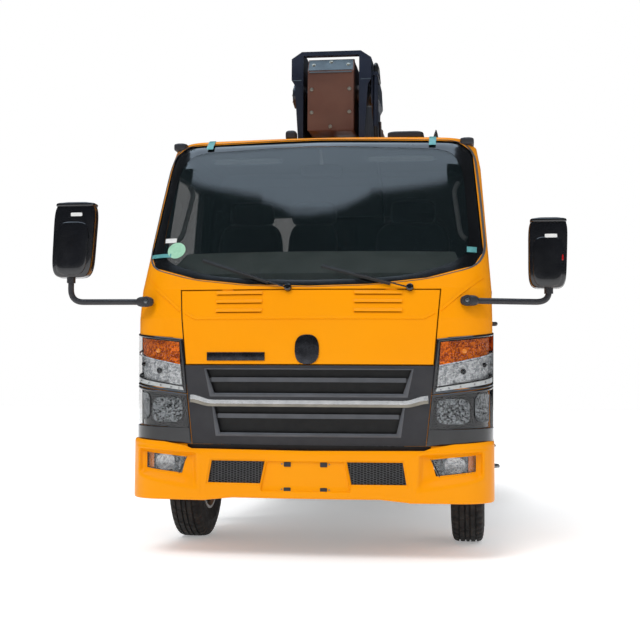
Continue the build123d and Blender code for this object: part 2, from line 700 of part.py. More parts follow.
def make_beam(side):
    """Outrigger beam with the jack housing at its end; it slides out of its own side."""
    y = BEAM_Y[side]
    half_w = BOX_W / 2 - BOX_WALL - FIT
    half_h = BOX_H / 2 - BOX_WALL - FIT
    beam = block((-780, JACK_X - JACK_R + 10), (y - half_w, y + half_w), (BOX_Z - half_h, BOX_Z + half_h))
    beam = beam - block((-790, JACK_X - JACK_R - 20), (y - half_w + 8, y + half_w - 8),
                        (BOX_Z - half_h + 8, BOX_Z + half_h - 8))
    beam = beam - bar((JACK_X, y, 0), (JACK_X, y, 1200), LEG_R + FIT)
    return sided(beam + jack_tube(JACK_X, y), side)


def make_leg(side, y):
    """Jack leg with its foot plate."""
    x = SIDES[side] * JACK_X
    leg = bar((x, y, PAD_Z + 20), (x, y, JACK_TOP_Z - 20), LEG_R)
    pad = bar((x, y, PAD_Z), (x, y, PAD_Z + 22), PAD_R)
    collar = bar((x, y, PAD_Z + 20), (x, y, PAD_Z + 50), 52)
    return leg + chamfer(pad.edges().group_by(Axis.Z)[-1], 8) + collar


BEARER_Y = (-640.0, -200.0, 350.0, 900.0, 1460.0, 2100.0)


def make_deck():
    """Load deck: sheet with a shallow middle gutter, bearers across the subframe and raised side edges."""
    under = DECK_Z - DECK_SHEET_T
    deck = block((-DECK_HALF_W, DECK_HALF_W), (DECK_FRONT_Y, DECK_REAR_Y), (under, DECK_Z))
    deck = deck - block((-GUTTER_HALF_W, GUTTER_HALF_W), (DECK_FRONT_Y - 1, DECK_REAR_Y + 1),
                        (DECK_Z - GUTTER_D, DECK_Z + 1))
    for y in BEARER_Y:
        deck = deck + block((-DECK_HALF_W, DECK_HALF_W), (y - 30, y + 30), (SUB_TOP_Z + FIT, under))
    edge = block((DECK_HALF_W - 20, DECK_HALF_W), (DECK_FRONT_Y, DECK_REAR_Y), (SUB_TOP_Z, DECK_Z + 60))
    deck = deck + both(edge)
    deck = deck - block((-RAIL_OUT_X - 15, RAIL_OUT_X + 15), (DECK_FRONT_Y - 10, PEDESTAL_Y[1] + 15),
                        (SUB_TOP_Z - 30, DECK_Z + 90))
    return deck - bar((0, SLEW_Y, SUB_TOP_Z + 10), (0, SLEW_Y, DECK_Z + 90), RING_R + 60)


GUARD_R = 450.0


def make_mudguards():
    """Arched guards over the twin rear wheels, hung from the deck bearers."""
    x = (555, DECK_HALF_W - 5)
    centre = (REAR_AXLE_Y, WHEEL_R)
    outer = bar((x[0], *centre), (x[1], *centre), GUARD_R + 6)
    inner = bar((x[0] - 1, *centre), (x[1] + 1, *centre), GUARD_R)
    guard = (outer - inner) & block((0, 1100), (0, 3000), (WHEEL_R + 40, 900))
    hanger = block((700, 760), (REAR_AXLE_Y - 25, REAR_AXLE_Y + 25), (WHEEL_R + GUARD_R + 2, SUB_TOP_Z))
    lip = bar((x[1] - 6, *centre), (x[1], *centre), GUARD_R + 6)
    lip = lip - bar((x[1] - 7, *centre), (x[1] + 1, *centre), GUARD_R - 18)
    lip = lip & block((0, 1100), (0, 3000), (WHEEL_R + 40, 900))
    return both(guard + hanger + lip)


SIDE_GUARD_Y = (-900.0, 900.0)
REAR_BAR_Y = 2392.0


def make_underrun_guards():
    """Side guard rails between the axles and the rear bar."""
    side = Part()
    for z in (470, 700):
        side = side + block((925, 955), SIDE_GUARD_Y, (z, z + 90))
    for y in (-640, 350):
        side = side + block((895, 925), (y - 25, y + 25), (470, SUB_TOP_Z))
    low = RAIL_TOP_Z - RAIL_H
    rear = block((-920, 920), (REAR_BAR_Y - 45, REAR_BAR_Y), (low - 105, low - 5))
    rear = rear + both(block((RAIL_OUT_X - 50, RAIL_OUT_X), (REAR_BAR_Y - 45, RAIL_REAR_Y),
                             (low - 5, low - FIT)))
    return both(side) + rear


def make_side_tanks():
    """Fuel tank and tool lockers hung beside the rails."""
    tank = block((RAIL_OUT_X + 15, 800), (-120, 560), (420, 800))
    tank = fillet(tank.edges().filter_by(Axis.Y), 60)
    strap = Part()
    for y in (0, 440):
        strap = strap + block((RAIL_OUT_X + FIT, RAIL_OUT_X + 60), (y - 25, y + 25), (600, 720))
    locker = block((-860, -RAIL_OUT_X - 15), (-420, 620), (430, 820))
    locker = locker - block((-870, -845), (-400, 600), (450, 800))
    locker = locker + block((-856, -840), (-394, 594), (456, 794))
    stay = block((-RAIL_OUT_X - 60, -RAIL_OUT_X - FIT), (60, 120), (600, 720))
    return tank + strap + locker + stay


REST_Y = 1500.0


def make_boom_rest():
    """Post with a flat padded head on which the stowed boom lies."""
    floor = DECK_Z - GUTTER_D
    under_boom = BOOM_Z - OUTER_H / 2 - RUN
    post = block((-60, 60), (REST_Y - 60, REST_Y + 60), (floor, under_boom - 60))
    foot = block((-160, 160), (REST_Y - 160, REST_Y + 160), (floor, floor + 20))
    web = from_side([(REST_Y - 150, floor), (REST_Y + 150, floor), (REST_Y + 60, 1400), (REST_Y - 60, 1400)],
                    (-8, 8))
    head = block((-130, 130), (REST_Y - 80, REST_Y + 80), (under_boom - 70, under_boom))
    return post + foot + web + head


# Axles, springs and engine
def make_front_axle():
    """Dropped beam with a kingpin eye at each end."""
    half = [(0, 320), (420, 320), (560, 350), (KINGPIN_X, 350), (KINGPIN_X, 430), (560, 430), (440, 400),
            (0, 400)]
    outline = half + [(-x, z) for x, z in reversed(half[1:-1])]
    beam = from_front(outline, (FRONT_AXLE_Y - 35, FRONT_AXLE_Y + 35))
    eye = bar((KINGPIN_X, FRONT_AXLE_Y, WHEEL_R - 60), (KINGPIN_X, FRONT_AXLE_Y, WHEEL_R + 60), 45)
    beam = beam + both(eye)
    bore = bar((KINGPIN_X, FRONT_AXLE_Y, 200), (KINGPIN_X, FRONT_AXLE_Y, 600), 20)
    return beam - both(bore)


def make_knuckle(side):
    """Steering knuckle: kingpin, fork, brake plate and stub axle."""
    pin = bar((KINGPIN_X, FRONT_AXLE_Y, WHEEL_R - 84), (KINGPIN_X, FRONT_AXLE_Y, WHEEL_R + 84), 20 - FIT)
    arms = Part()
    for z in (WHEEL_R - 85, WHEEL_R + 62):
        arm = block((KINGPIN_X, 770), (FRONT_AXLE_Y - 42, FRONT_AXLE_Y + 42), (z, z + 23))
        arms = arms + arm + bar((KINGPIN_X, FRONT_AXLE_Y, z), (KINGPIN_X, FRONT_AXLE_Y, z + 23), 42)
    flange = block((746, 770), (FRONT_AXLE_Y - 60, FRONT_AXLE_Y + 60), (WHEEL_R - 85, WHEEL_R + 85))
    plate = bar((764, FRONT_AXLE_Y, WHEEL_R), (772, FRONT_AXLE_Y, WHEEL_R), 165)
    stub = bar((770, FRONT_AXLE_Y, WHEEL_R), (905, FRONT_AXLE_Y, WHEEL_R), 30)
    return sided(pin + arms + flange + plate + stub, side)


def make_rear_axle():
    """Banjo axle with its final drive housing and stub shafts."""
    centre = (REAR_AXLE_Y, WHEEL_R)
    tube = bar((-570, *centre), (570, *centre), 58)
    stub = bar((-REAR_OUTER_X + 55, *centre), (REAR_OUTER_X - 55, *centre), 45)
    plate = both(bar((548, *centre), (556, *centre), 170))
    bowl = Pos(0, REAR_AXLE_Y, WHEEL_R) * Sphere(165)
    bowl = bowl & block((-120, 120), (REAR_AXLE_Y - 170, REAR_AXLE_Y + 170), (0, 700))
    nose = bar((0, REAR_AXLE_Y - 260, WHEEL_R + 25), (0, REAR_AXLE_Y, WHEEL_R), 70)
    return tube + stub + plate + bowl + nose


# Springs: axle y, seat height, half length of each leaf from the longest, leaf thickness, rise at the ends
SPRINGS = [
    (FRONT_AXLE_Y, 400.0, (560.0, 430.0, 280.0), 14.0, 78.0),
    (REAR_AXLE_Y, 446.0, (600.0, 440.0, 290.0), 18.0, 36.0),
]
SPRING_X = (376.0, 436.0)


def make_leaf_springs():
    """Leaf packs over the axles, each leaf an arc, with hangers up to the rails."""
    group = Part()
    low = RAIL_TOP_Z - RAIL_H
    for y_mid, seat, halves, leaf, end_rise in SPRINGS:
        longest = halves[0]
        for number, half in enumerate(halves):
            base = seat + (len(halves) - 1 - number) * leaf
            rise = end_rise * (half / longest) ** 2
            lower = ThreePointArc((y_mid - half, base + rise), (y_mid, base), (y_mid + half, base + rise))
            upper = ThreePointArc((y_mid + half, base + leaf + rise), (y_mid, base + leaf),
                                  (y_mid - half, base + leaf + rise))
            edges = [lower, Line(lower @ 1, upper @ 0), upper, Line(upper @ 1, lower @ 0)]
            face = make_face([Plane.YZ.offset(SPRING_X[0]) * edge for edge in edges])
            group = group + extrude(face, amount=SPRING_X[1] - SPRING_X[0], dir=(1, 0, 0))
        end_z = seat + (len(halves) - 1) * leaf + end_rise
        for direction in (-1, 1):
            y_end = y_mid + direction * longest
            group = group + block((SPRING_X[0] - 10, SPRING_X[1] + 10), (y_end - 28, y_end + 28),
                                  (end_z - 8, low - FIT))
    return both(group)


GEARBOX_REAR_Y = -1260.0
SHAFT_Z = 560.0


def make_engine():
    """Engine and gearbox as one plain mass between the rails."""
    engine = block((-250, 250), (-2330, -1700), (480, 930))
    gearbox = block((-150, 150), (-1700, GEARBOX_REAR_Y), (460, 650))
    mount = both(block((250, RAIL_OUT_X - RAIL_T - FIT), (-2060, -1980), (590, 640)))
    return engine + gearbox + mount


def make_driveshaft():
    """Propeller shaft from the gearbox to the rear axle."""
    joint_y = GEARBOX_REAR_Y + 80
    shaft = bar((0, joint_y - 10, SHAFT_Z), (0, REAR_AXLE_Y - 260 - 12, WHEEL_R + 26), 38)
    return shaft + bar((0, GEARBOX_REAR_Y + FIT, SHAFT_Z), (0, joint_y, SHAFT_Z), 55)


# Wheels
def tyre_ring():
    """Tyre cross-section turned about the wheel axis, centred on the origin."""
    half = TYRE_W / 2
    points = [(-0.74 * half, BEAD_R), (-0.9 * half, BEAD_R + 28), (-half, 300), (-0.93 * half, 352),
              (-0.8 * half, 379), (-0.5 * half, WHEEL_R), (0.5 * half, WHEEL_R), (0.8 * half, 379),
              (0.93 * half, 352), (half, 300), (0.9 * half, BEAD_R + 28), (0.74 * half, BEAD_R)]
    return revolve(make_face(Plane.XZ * Polyline(*points, close=True)), axis=Axis.X)


def rim_ring(hub_r):
    """Pressed steel rim with its disc towards +X, centred on the origin."""
    outer = BEAD_R - FIT
    barrel = [(-88, outer - 3), (-88, outer + 12), (-82, outer + 12), (-82, outer), (82, outer),
              (82, outer + 12), (88, outer + 12), (88, outer - 3), (70, outer - 10), (-70, outer - 10)]
    disc = [(20, outer - 9), (44, 170), (44, 150), (62, 120), (62, hub_r), (52, hub_r), (52, 116), (34, 146),
            (34, 168), (8, outer - 9)]
    rim = revolve(make_face(Plane.XZ * Polyline(*barrel, close=True)), axis=Axis.X)
    rim = rim + revolve(make_face(Plane.XZ * Polyline(*disc, close=True)), axis=Axis.X)
    for number in range(8):
        angle = math.radians(number * 45 + 22.5)
        y, z = 158 * math.cos(angle), 158 * math.sin(angle)
        rim = rim - bar((0, y, z), (80, y, z), 17)
    return rim


def make_front_tyre(side):
    """One front tyre."""
    return Pos(SIDES[side] * FRONT_WHEEL_X, FRONT_AXLE_Y, WHEEL_R) * tyre_ring()


def make_front_rim(side):
    """Front rim with its hub on the stub axle."""
    hub = bar((0, 0, 0), (80, 0, 0), 62) - bar((-1, 0, 0), (61, 0, 0), 30 + FIT)
    rim = Pos(FRONT_WHEEL_X, FRONT_AXLE_Y, WHEEL_R) * (rim_ring(60) + hub)
    return sided(rim, side)


def make_rear_tyres(side):
    """Twin rear tyres."""
    x = SIDES[side]
    pair = Part()
    for place in (REAR_OUTER_X, REAR_OUTER_X - TWIN_SPACING):
        pair = pair + Pos(x * place, REAR_AXLE_Y, WHEEL_R) * tyre_ring()
    return pair


def make_rear_rims(side):
    """Twin rear rims, dished face to dished face on one hub."""
    outer = Pos(REAR_OUTER_X, REAR_AXLE_Y, WHEEL_R) * mirrored(rim_ring(60))
    inner = Pos(REAR_OUTER_X - TWIN_SPACING, REAR_AXLE_Y, WHEEL_R) * rim_ring(60)
    centre = (REAR_AXLE_Y, WHEEL_R)
    middle = REAR_OUTER_X - TWIN_SPACING / 2
    hub = bar((middle - 60, *centre), (middle + 110, *centre), 118)
    hub = hub - bar((middle - 61, *centre), (middle + 58, *centre), 45 + FIT)
    return sided(outer + inner + hub, side)


# Turret
CHEEK_SIDE = [(-1030, RING_Z + RING_H + 30), (-1130, 1420), (-1165, 2280), (-1240, CHEEK_LOW_Z),
              (PORTAL_FRONT_Y, CHEEK_LOW_Z + 20), (PORTAL_FRONT_Y, PORTAL_TOP_Z), (-1720, PORTAL_TOP_Z),
              (-1180, PORTAL_TOP_Z - 68), (-700, 2330), (-430, 1700), (-380, RING_Z + RING_H + 30)]
PORTAL_EDGE = [(CHEEK_IN_X, PORTAL_TOP_Z + 72), (CHEEK_IN_X + 10, PORTAL_TOP_Z),
               (CHEEK_OUT_X, PORTAL_TOP_Z - 44), (CHEEK_OUT_X, PORTAL_TOP_Z - 178),
               (CHEEK_OUT_X - 20, PORTAL_TOP_Z - 208), (CHEEK_OUT_X - 45, CHEEK_LOW_Z),
               (CHEEK_OUT_X, CHEEK_LOW_Z - 60), (CHEEK_OUT_X, 900), (0, 900), (0, PORTAL_TOP_Z + 72)]


def make_slew_ring():
    """Fixed ring of the slewing bearing."""
    ring = bar((0, SLEW_Y, RING_Z), (0, SLEW_Y, RING_Z + RING_H - FIT), RING_R)
    return ring - bar((0, SLEW_Y, RING_Z - 1), (0, SLEW_Y, RING_Z + RING_H), RING_R - 110)


def make_turret_frame():
    """Turret: base plate, two leaning cheeks, cross webs, the portal bar and the two pins."""
    base_z = RING_Z + RING_H
    base = bar((0, SLEW_Y, base_z), (0, SLEW_Y, base_z + 30), RING_R)
    cheek = from_side(CHEEK_SIDE, (CHEEK_IN_X, CHEEK_OUT_X))
    cheek = cheek & from_front(PORTAL_EDGE, (PORTAL_FRONT_Y - 10, 0))
    rear_web = from_side([(-396, base_z + 30), (-446, 1690), (-700, 2285), (-725, 2275), (-470, 1685),
                          (-420, base_z + 30)], (-CHEEK_IN_X, CHEEK_IN_X))
    front_web = from_side([(-1020, base_z + 30), (-1118, 1420), (-1130, 1700), (-1110, 1700), (-1098, 1424),
                           (-1000, base_z + 30)], (-CHEEK_IN_X, CHEEK_IN_X))
    top_bar = block((-CHEEK_IN_X - 5, CHEEK_IN_X + 5), (PORTAL_FRONT_Y, PORTAL_FRONT_Y + 50),
                    (PORTAL_TOP_Z - 26, PORTAL_TOP_Z))
    pins = bar((-CHEEK_IN_X, LUFF_Y, LUFF_Z), (CHEEK_IN_X, LUFF_Y, LUFF_Z), LUFF_PIN_R)
    pins = pins + bar((-CHEEK_IN_X, BASE_PIN_Y, BASE_PIN_Z), (CHEEK_IN_X, BASE_PIN_Y, BASE_PIN_Z), CYL_PIN_R)
    cap = bar((CHEEK_IN_X + 20, LUFF_Y, LUFF_Z), (CHEEK_OUT_X + 14, LUFF_Y, LUFF_Z), 75)
    return base + both(cheek) + rear_web + front_web + top_bar + pins + both(cap)


GUARD_PIPE_Y = (-1930.0, -1892.0, -1854.0)
GUARD_PIPE_X = CHEEK_OUT_X + 22
GUARD_PIPE_R = 13.0


def make_hose_guard():
    """Guarded pipes down the outside of the right cheek."""
    guard = from_side([(-1960, 2700), (-1960, 2900), (-1880, 2920), (-1850, 2600)],
                      (CHEEK_OUT_X, CHEEK_OUT_X + 6))
    group = guard
    for y in GUARD_PIPE_Y:
        group = group + bar((GUARD_PIPE_X, y, 2560), (GUARD_PIPE_X, y, 2905), GUARD_PIPE_R)
    return group + block((CHEEK_OUT_X, GUARD_PIPE_X + 18), (-1950, -1840), (2880, 2900))


# Boom
def wear_pads(y, in_half_w, in_half_h, out_half_w, out_half_h, z_mid):
    """Four slide pads between two boom sections, at one end."""
    pads = Part()
    for sign in (-1, 1):
        z = (z_mid + sign * in_half_h, z_mid + sign * out_half_h)
        pads = pads + block((-0.7 * in_half_w, 0.7 * in_half_w), y, (min(z), max(z)))
        x = (sign * in_half_w, sign * out_half_w)
        pads = pads + block((min(x), max(x)), y, (z_mid - 0.6 * in_half_h, z_mid + 0.6 * in_half_h))
    return pads


def make_boom_outer():
    """Outer boom section: box tube with a slanted tail, pivot tube, mouth collar and cylinder ears."""
    half_w, half_h = OUTER_W / 2, OUTER_H / 2
    tube = box_tube(half_w, half_h, OUTER_WALL, (OUTER_TAIL_Y + COVER_T, OUTER_MOUTH_Y), BOOM_Z)
    top = BOOM_Z + half_h
    cut = from_side([(OUTER_TAIL_Y - 20, TAIL_SLANT_Z), (OUTER_TAIL_Y + COVER_T, TAIL_SLANT_Z),
                     (TAIL_SLANT_Y, top), (TAIL_SLANT_Y, top + 40), (OUTER_TAIL_Y - 20, top + 40)],
                    (-half_w - 10, half_w + 10))
    tube = tube - cut
    slant = from_side([(OUTER_TAIL_Y + COVER_T, TAIL_SLANT_Z - 12), (OUTER_TAIL_Y + COVER_T, TAIL_SLANT_Z),
                       (TAIL_SLANT_Y, top), (TAIL_SLANT_Y + 12, top), (TAIL_SLANT_Y + 12, top - 14)],
                      (-half_w + 1, half_w - 1))
    boss = bar((-half_w - 20, LUFF_Y, LUFF_Z), (half_w + 20, LUFF_Y, LUFF_Z), 62)
    bore = bar((-400, LUFF_Y, LUFF_Z), (400, LUFF_Y, LUFF_Z), LUFF_PIN_R + FIT)
    collar = block((-half_w - 14, half_w + 14), (OUTER_MOUTH_Y - 90, OUTER_MOUTH_Y),
                   (BOOM_Z - half_h - 14, BOOM_Z + half_h + 14))
    collar = fillet(collar.edges().filter_by(Axis.Y), 20)
    collar = collar - block((-half_w + OUTER_WALL, half_w - OUTER_WALL),
                            (OUTER_MOUTH_Y - 100, OUTER_MOUTH_Y + 10),
                            (BOOM_Z - half_h + OUTER_WALL, BOOM_Z + half_h - OUTER_WALL))
    pads = wear_pads((OUTER_MOUTH_Y - PAD_L, OUTER_MOUTH_Y), MID_W / 2 + FIT, MID_H / 2 + FIT,
                     half_w - OUTER_WALL, half_h - OUTER_WALL, BOOM_Z)
    low = BOOM_Z - half_h
    ear = from_side([(LUG_Y - 160, low), (LUG_Y - EAR_R, low - 120), (LUG_Y - EAR_R, LUG_Z - 30),
                     (LUG_Y - 40, LUG_Z - EAR_R), (LUG_Y + 40, LUG_Z - EAR_R), (LUG_Y + EAR_R, LUG_Z - 30),
                     (LUG_Y + 200, low)], (EAR_IN_X, EAR_IN_X + EAR_T))
    return tube + slant + boss + collar + pads + both(ear) - bore


def make_boom_cover():
    """Bolted end cover of the tail: upright lower part and slanted upper part."""
    half_w = OUTER_W / 2 - 2
    low = BOOM_Z - OUTER_H / 2 + 2
    top = BOOM_Z + OUTER_H / 2
    front = OUTER_TAIL_Y
    back = front + COVER_T - FIT
    return from_side([(front, low), (front, TAIL_SLANT_Z), (TAIL_SLANT_Y - COVER_T, top),
                      (TAIL_SLANT_Y - FIT, top), (back, TAIL_SLANT_Z), (back, low)], (-half_w, half_w))


def make_boom_mid():
    """Middle boom section with its mouth collar and tail pads."""
    half_w, half_h = MID_W / 2, MID_H / 2
    tube = box_tube(half_w, half_h, SECTION_WALL, (MID_TAIL_Y, MID_MOUTH_Y), BOOM_Z)
    collar = block((-half_w - 12, half_w + 12), (MID_MOUTH_Y - 70, MID_MOUTH_Y),
                   (BOOM_Z - half_h - 12, BOOM_Z + half_h + 12))
    collar = collar - block((-half_w + SECTION_WALL, half_w - SECTION_WALL),
                            (MID_MOUTH_Y - 80, MID_MOUTH_Y + 10),
                            (BOOM_Z - half_h + SECTION_WALL, BOOM_Z + half_h - SECTION_WALL))
    mouth = wear_pads((MID_MOUTH_Y - PAD_L, MID_MOUTH_Y), INNER_W / 2 + FIT, INNER_H / 2 + FIT,
                      half_w - SECTION_WALL, half_h - SECTION_WALL, BOOM_Z)
    tail = wear_pads((MID_TAIL_Y, MID_TAIL_Y + PAD_L), half_w - 1, half_h - 1,
                     OUTER_W / 2 - OUTER_WALL - FIT, OUTER_H / 2 - OUTER_WALL - FIT, BOOM_Z)
    return tube + collar + mouth + tail


def make_boom_inner():
    """Inner boom section with the head that carries the platform."""
    half_w, half_h = INNER_W / 2, INNER_H / 2
    tube = box_tube(half_w, half_h, SECTION_WALL, (INNER_TAIL_Y, INNER_MOUTH_Y), BOOM_Z)
    tail = wear_pads((INNER_TAIL_Y, INNER_TAIL_Y + PAD_L), half_w - 1, half_h - 1,
                     MID_W / 2 - SECTION_WALL - FIT, MID_H / 2 - SECTION_WALL - FIT, BOOM_Z)
    end = block((-half_w, half_w), (INNER_MOUTH_Y - 10, INNER_MOUTH_Y), (BOOM_Z - half_h, BOOM_Z + half_h))
    start = MID_MOUTH_Y + 20
    plate = from_side([(start, BOOM_Z + 110), (start, BOOM_Z - half_h + 4), (LEVEL_Y - 60, LEVEL_Z - 20),
                       (LEVEL_Y - 20, LEVEL_Z - 52), (LEVEL_Y + 30, LEVEL_Z - 48), (LEVEL_Y + 56, LEVEL_Z),
                       (LEVEL_Y + 30, BOOM_Z - 60), (LEVEL_Y, BOOM_Z + 110)], (half_w - 12, half_w))
    head = both(plate)
    pin = bar((-half_w, LEVEL_Y, LEVEL_Z), (half_w, LEVEL_Y, LEVEL_Z), LEVEL_PIN_R)
    return tube + tail + end + head + pin


def make_hose_duct():
    """Hose duct along the top of the outer boom."""
    low = BOOM_Z + OUTER_H / 2
    duct = block((-55, 55), (-1150, 1700), (low + FIT, low + 62))
    return fillet(duct.edges().filter_by(Axis.Y).group_by(Axis.Z)[-1], 18)


def rod_direction():
    """Unit vector from the base pin to the lug, in the (y, z) plane, and its length."""
    dy, dz = LUG_Y - BASE_PIN_Y, LUG_Z - BASE_PIN_Z
    length = math.hypot(dy, dz)
    return dy / length, dz / length, length


BARREL_END = 190.0


def along(distance):
    """Point on the cylinder's line, measured from the base pin."""
    uy, uz, _ = rod_direction()
    return (0, BASE_PIN_Y + uy * distance, BASE_PIN_Z + uz * distance)


def make_lift_barrel():
    """Cylinder barrel with its base eye."""
    length = rod_direction()[2]
    barrel = bar(along(30), along(length - BARREL_END), BARREL_R)
    barrel = barrel + bar(along(length - BARREL_END - 60), along(length - BARREL_END), BARREL_R + 12)
    barrel = barrel - bar(along(95), along(length), ROD_R + FIT)
    eye = bar((-60, BASE_PIN_Y, BASE_PIN_Z), (60, BASE_PIN_Y, BASE_PIN_Z), 72)
    bore = bar((-80, BASE_PIN_Y, BASE_PIN_Z), (80, BASE_PIN_Y, BASE_PIN_Z), CYL_PIN_R + FIT)
    return barrel + eye - bore


def make_lift_rod():
    """Cylinder rod with its eye and short pin."""
    length = rod_direction()[2]
    rod = bar(along(110), along(length - 20), ROD_R)
    eye = bar((-EYE_HALF_W, LUG_Y, LUG_Z), (EYE_HALF_W, LUG_Y, LUG_Z), EYE_R)
    pin = bar((-EAR_IN_X + 2, LUG_Y, LUG_Z), (EAR_IN_X - 2, LUG_Y, LUG_Z), CYL_PIN_R)
    return rod + eye + pin


# Platform
def make_platform_bracket():
    """Levelled bracket at the boom head with the upright swing post."""
    half = INNER_W / 2 - 12 - 3
    eye = bar((-half, LEVEL_Y, LEVEL_Z), (half, LEVEL_Y, LEVEL_Z), 44)
    arm = from_side([(LEVEL_Y - 30, LEVEL_Z - 30), (LEVEL_Y + 20, LEVEL_Z + 35), (SWING_Y + 50, LEVEL_Z - 60),
                     (SWING_Y + 50, 2330), (SWING_Y - 50, 2330)], (-45, 45))
    bore = bar((-200, LEVEL_Y, LEVEL_Z), (200, LEVEL_Y, LEVEL_Z), LEVEL_PIN_R + FIT)
    post = bar((0, SWING_Y, 1950), (0, SWING_Y, 2335), SWING_R)
    foot = bar((0, SWING_Y, 1925), (0, SWING_Y, 1950), SWING_R + 24)
    return eye + arm + post + foot - bore


BASKET_POST_X = (-581.0, -200.0, 200.0, 581.0)
BASKET_RAIL_Z = (1480.0, 1760.0, 2040.0)
TOE_H = 150.0
GATE_Y = (2560.0, 2900.0)


def basket_rails(z, radius):
    """Rectangular rail ring round the basket at a height, open where the gate is."""
    x = BASKET_HALF_W - TUBE_R
    y0, y1 = BASKET_FRONT_Y + TUBE_R, BASKET_REAR_Y - TUBE_R
    corners = [(-x, GATE_Y[0]), (-x, y0), (x, y0), (x, y1), (-x, y1), (-x, GATE_Y[1])]
    return rail([(x, y, z) for x, y in corners], radius)


def make_basket():
    """Work platform: floor, toe boards, posts, rails, swing sleeve and control box."""
    x, y = (-BASKET_HALF_W, BASKET_HALF_W), (BASKET_FRONT_Y, BASKET_REAR_Y)
    floor = block(x, y, (BASKET_FLOOR_Z, BASKET_FLOOR_Z + 30))
    toe = block(x, y, (BASKET_FLOOR_Z, BASKET_FLOOR_Z + TOE_H)) - block(
        (x[0] + 4, x[1] - 4), (y[0] + 4, y[1] - 4), (BASKET_FLOOR_Z + 30, BASKET_FLOOR_Z + TOE_H + 1))
    toe = toe - block((x[0] - 1, x[0] + 20), GATE_Y, (BASKET_FLOOR_Z + 31, BASKET_FLOOR_Z + TOE_H + 1))
    basket = floor + toe
    for z in (*BASKET_RAIL_Z, BASKET_TOP_Z - TUBE_R):
        basket = basket + basket_rails(z, TUBE_R if z > 2100 else 13)
    for y_post in (BASKET_FRONT_Y + TUBE_R, BASKET_REAR_Y - TUBE_R):
        for x_post in BASKET_POST_X:
            basket = basket + bar((x_post, y_post, BASKET_FLOOR_Z + 20),
                                  (x_post, y_post, BASKET_TOP_Z - TUBE_R), 16)
    for y_post in GATE_Y:
        basket = basket + bar((-581, y_post, BASKET_FLOOR_Z + 20), (-581, y_post, BASKET_TOP_Z - TUBE_R), 16)
    sleeve = bar((0, SWING_Y, 1952), (0, SWING_Y, 2310), SWING_R + 22) - bar(
        (0, SWING_Y, 1940), (0, SWING_Y, 2330), SWING_R + FIT)
    hanger = Part()
    for z in (1980, 2240):
        hanger = hanger + block((-50, 50), (SWING_Y + SWING_R + 6, BASKET_FRONT_Y + TUBE_R), (z, z + 50))
    backing = block((-220, 220), (BASKET_FRONT_Y - 6, BASKET_FRONT_Y + 12), (1970, 2300))
    controls = block((-160, 160), (BASKET_FRONT_Y + 12, BASKET_FRONT_Y + 130), (2120, 2290))
    return basket + sleeve + hanger + backing + controls


def make_basket_gate():
    """Side gate of the basket, hinged at its front post."""
    x = -BASKET_HALF_W + TUBE_R
    y0, y1 = GATE_Y[0] + 16 + RUN + 13, GATE_Y[1] - 16 - RUN - 13
    low, top = BASKET_FLOOR_Z + TOE_H + 30, BASKET_TOP_Z - 60
    gate = rail([(x, y0, low), (x, y0, top), (x, y1, top), (x, y1, low)], 13)
    gate = gate + bar((x, y1, low), (x, y0, low), 12)
    for z in (low + 270, low + 540):
        gate = gate + bar((x, y0, z), (x, y1, z), 10)
    for z in (low + 100, top - 140):
        gate = gate + block((x - 6, x + 6), (GATE_Y[0] + 16 + FIT, y0), (z, z + 40))
    return gate


PARTS = {
    "chassis_frame": make_chassis_frame,
    "subframe": make_subframe,
    "front_axle": make_front_axle,
    "rear_axle": make_rear_axle,
    "leaf_springs": make_leaf_springs,
    "engine": make_engine,
    "driveshaft": make_driveshaft,
    "side_tanks": make_side_tanks,
    "deck": make_deck,
    "mudguards": make_mudguards,
    "underrun_guards": make_underrun_guards,
    "boom_rest": make_boom_rest,
    "slew_ring": make_slew_ring,
    "lamps": make_lamps,
    "cab_shell": make_cab_shell,
    "cab_glass": make_cab_glass,
    "bumper": make_bumper,
    "grille": make_grille,
    "mirrors": make_mirrors,
    "wipers": make_wipers,
    "seats": make_seats,
    "dashboard": make_dashboard,
    "steering_wheel": make_steering_wheel,
    "front_flap": make_front_flap,
    "turret_frame": make_turret_frame,
    "hose_guard": make_hose_guard,
    "lift_barrel": make_lift_barrel,
    "lift_rod": make_lift_rod,
    "boom_outer": make_boom_outer,
    "boom_cover": make_boom_cover,
    "hose_duct": make_hose_duct,
    "boom_mid": make_boom_mid,
    "boom_inner": make_boom_inner,
    "platform_bracket": make_platform_bracket,
    "basket": make_basket,
    "basket_gate": make_basket_gate,
}

for name, make in PARTS.items():
    export_step(make(), f"parts/{name}.step")

for side in SIDES:
    export_step(make_door(side), f"parts/door_{side}.step")
    export_step(make_door_glass(side), f"parts/door_glass_{side}.step")
    export_step(make_knuckle(side), f"parts/knuckle_{side}.step")
    export_step(make_front_tyre(side), f"parts/tyre_front_{side}.step")
    export_step(make_front_rim(side), f"parts/rim_front_{side}.step")
    export_step(make_rear_tyres(side), f"parts/tyres_rear_{side}.step")
    export_step(make_rear_rims(side), f"parts/rims_rear_{side}.step")
    export_step(make_beam(side), f"parts/outrigger_beam_{side}.step")
    export_step(make_leg(side, BEAM_Y[side]), f"parts/outrigger_leg_front_{side}.step")
    export_step(make_leg(side, REAR_JACK_Y), f"parts/outrigger_leg_rear_{side}.step")
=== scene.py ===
import json
import math

import bmesh
import bpy
import numpy as np
from mathutils import Matrix, Vector


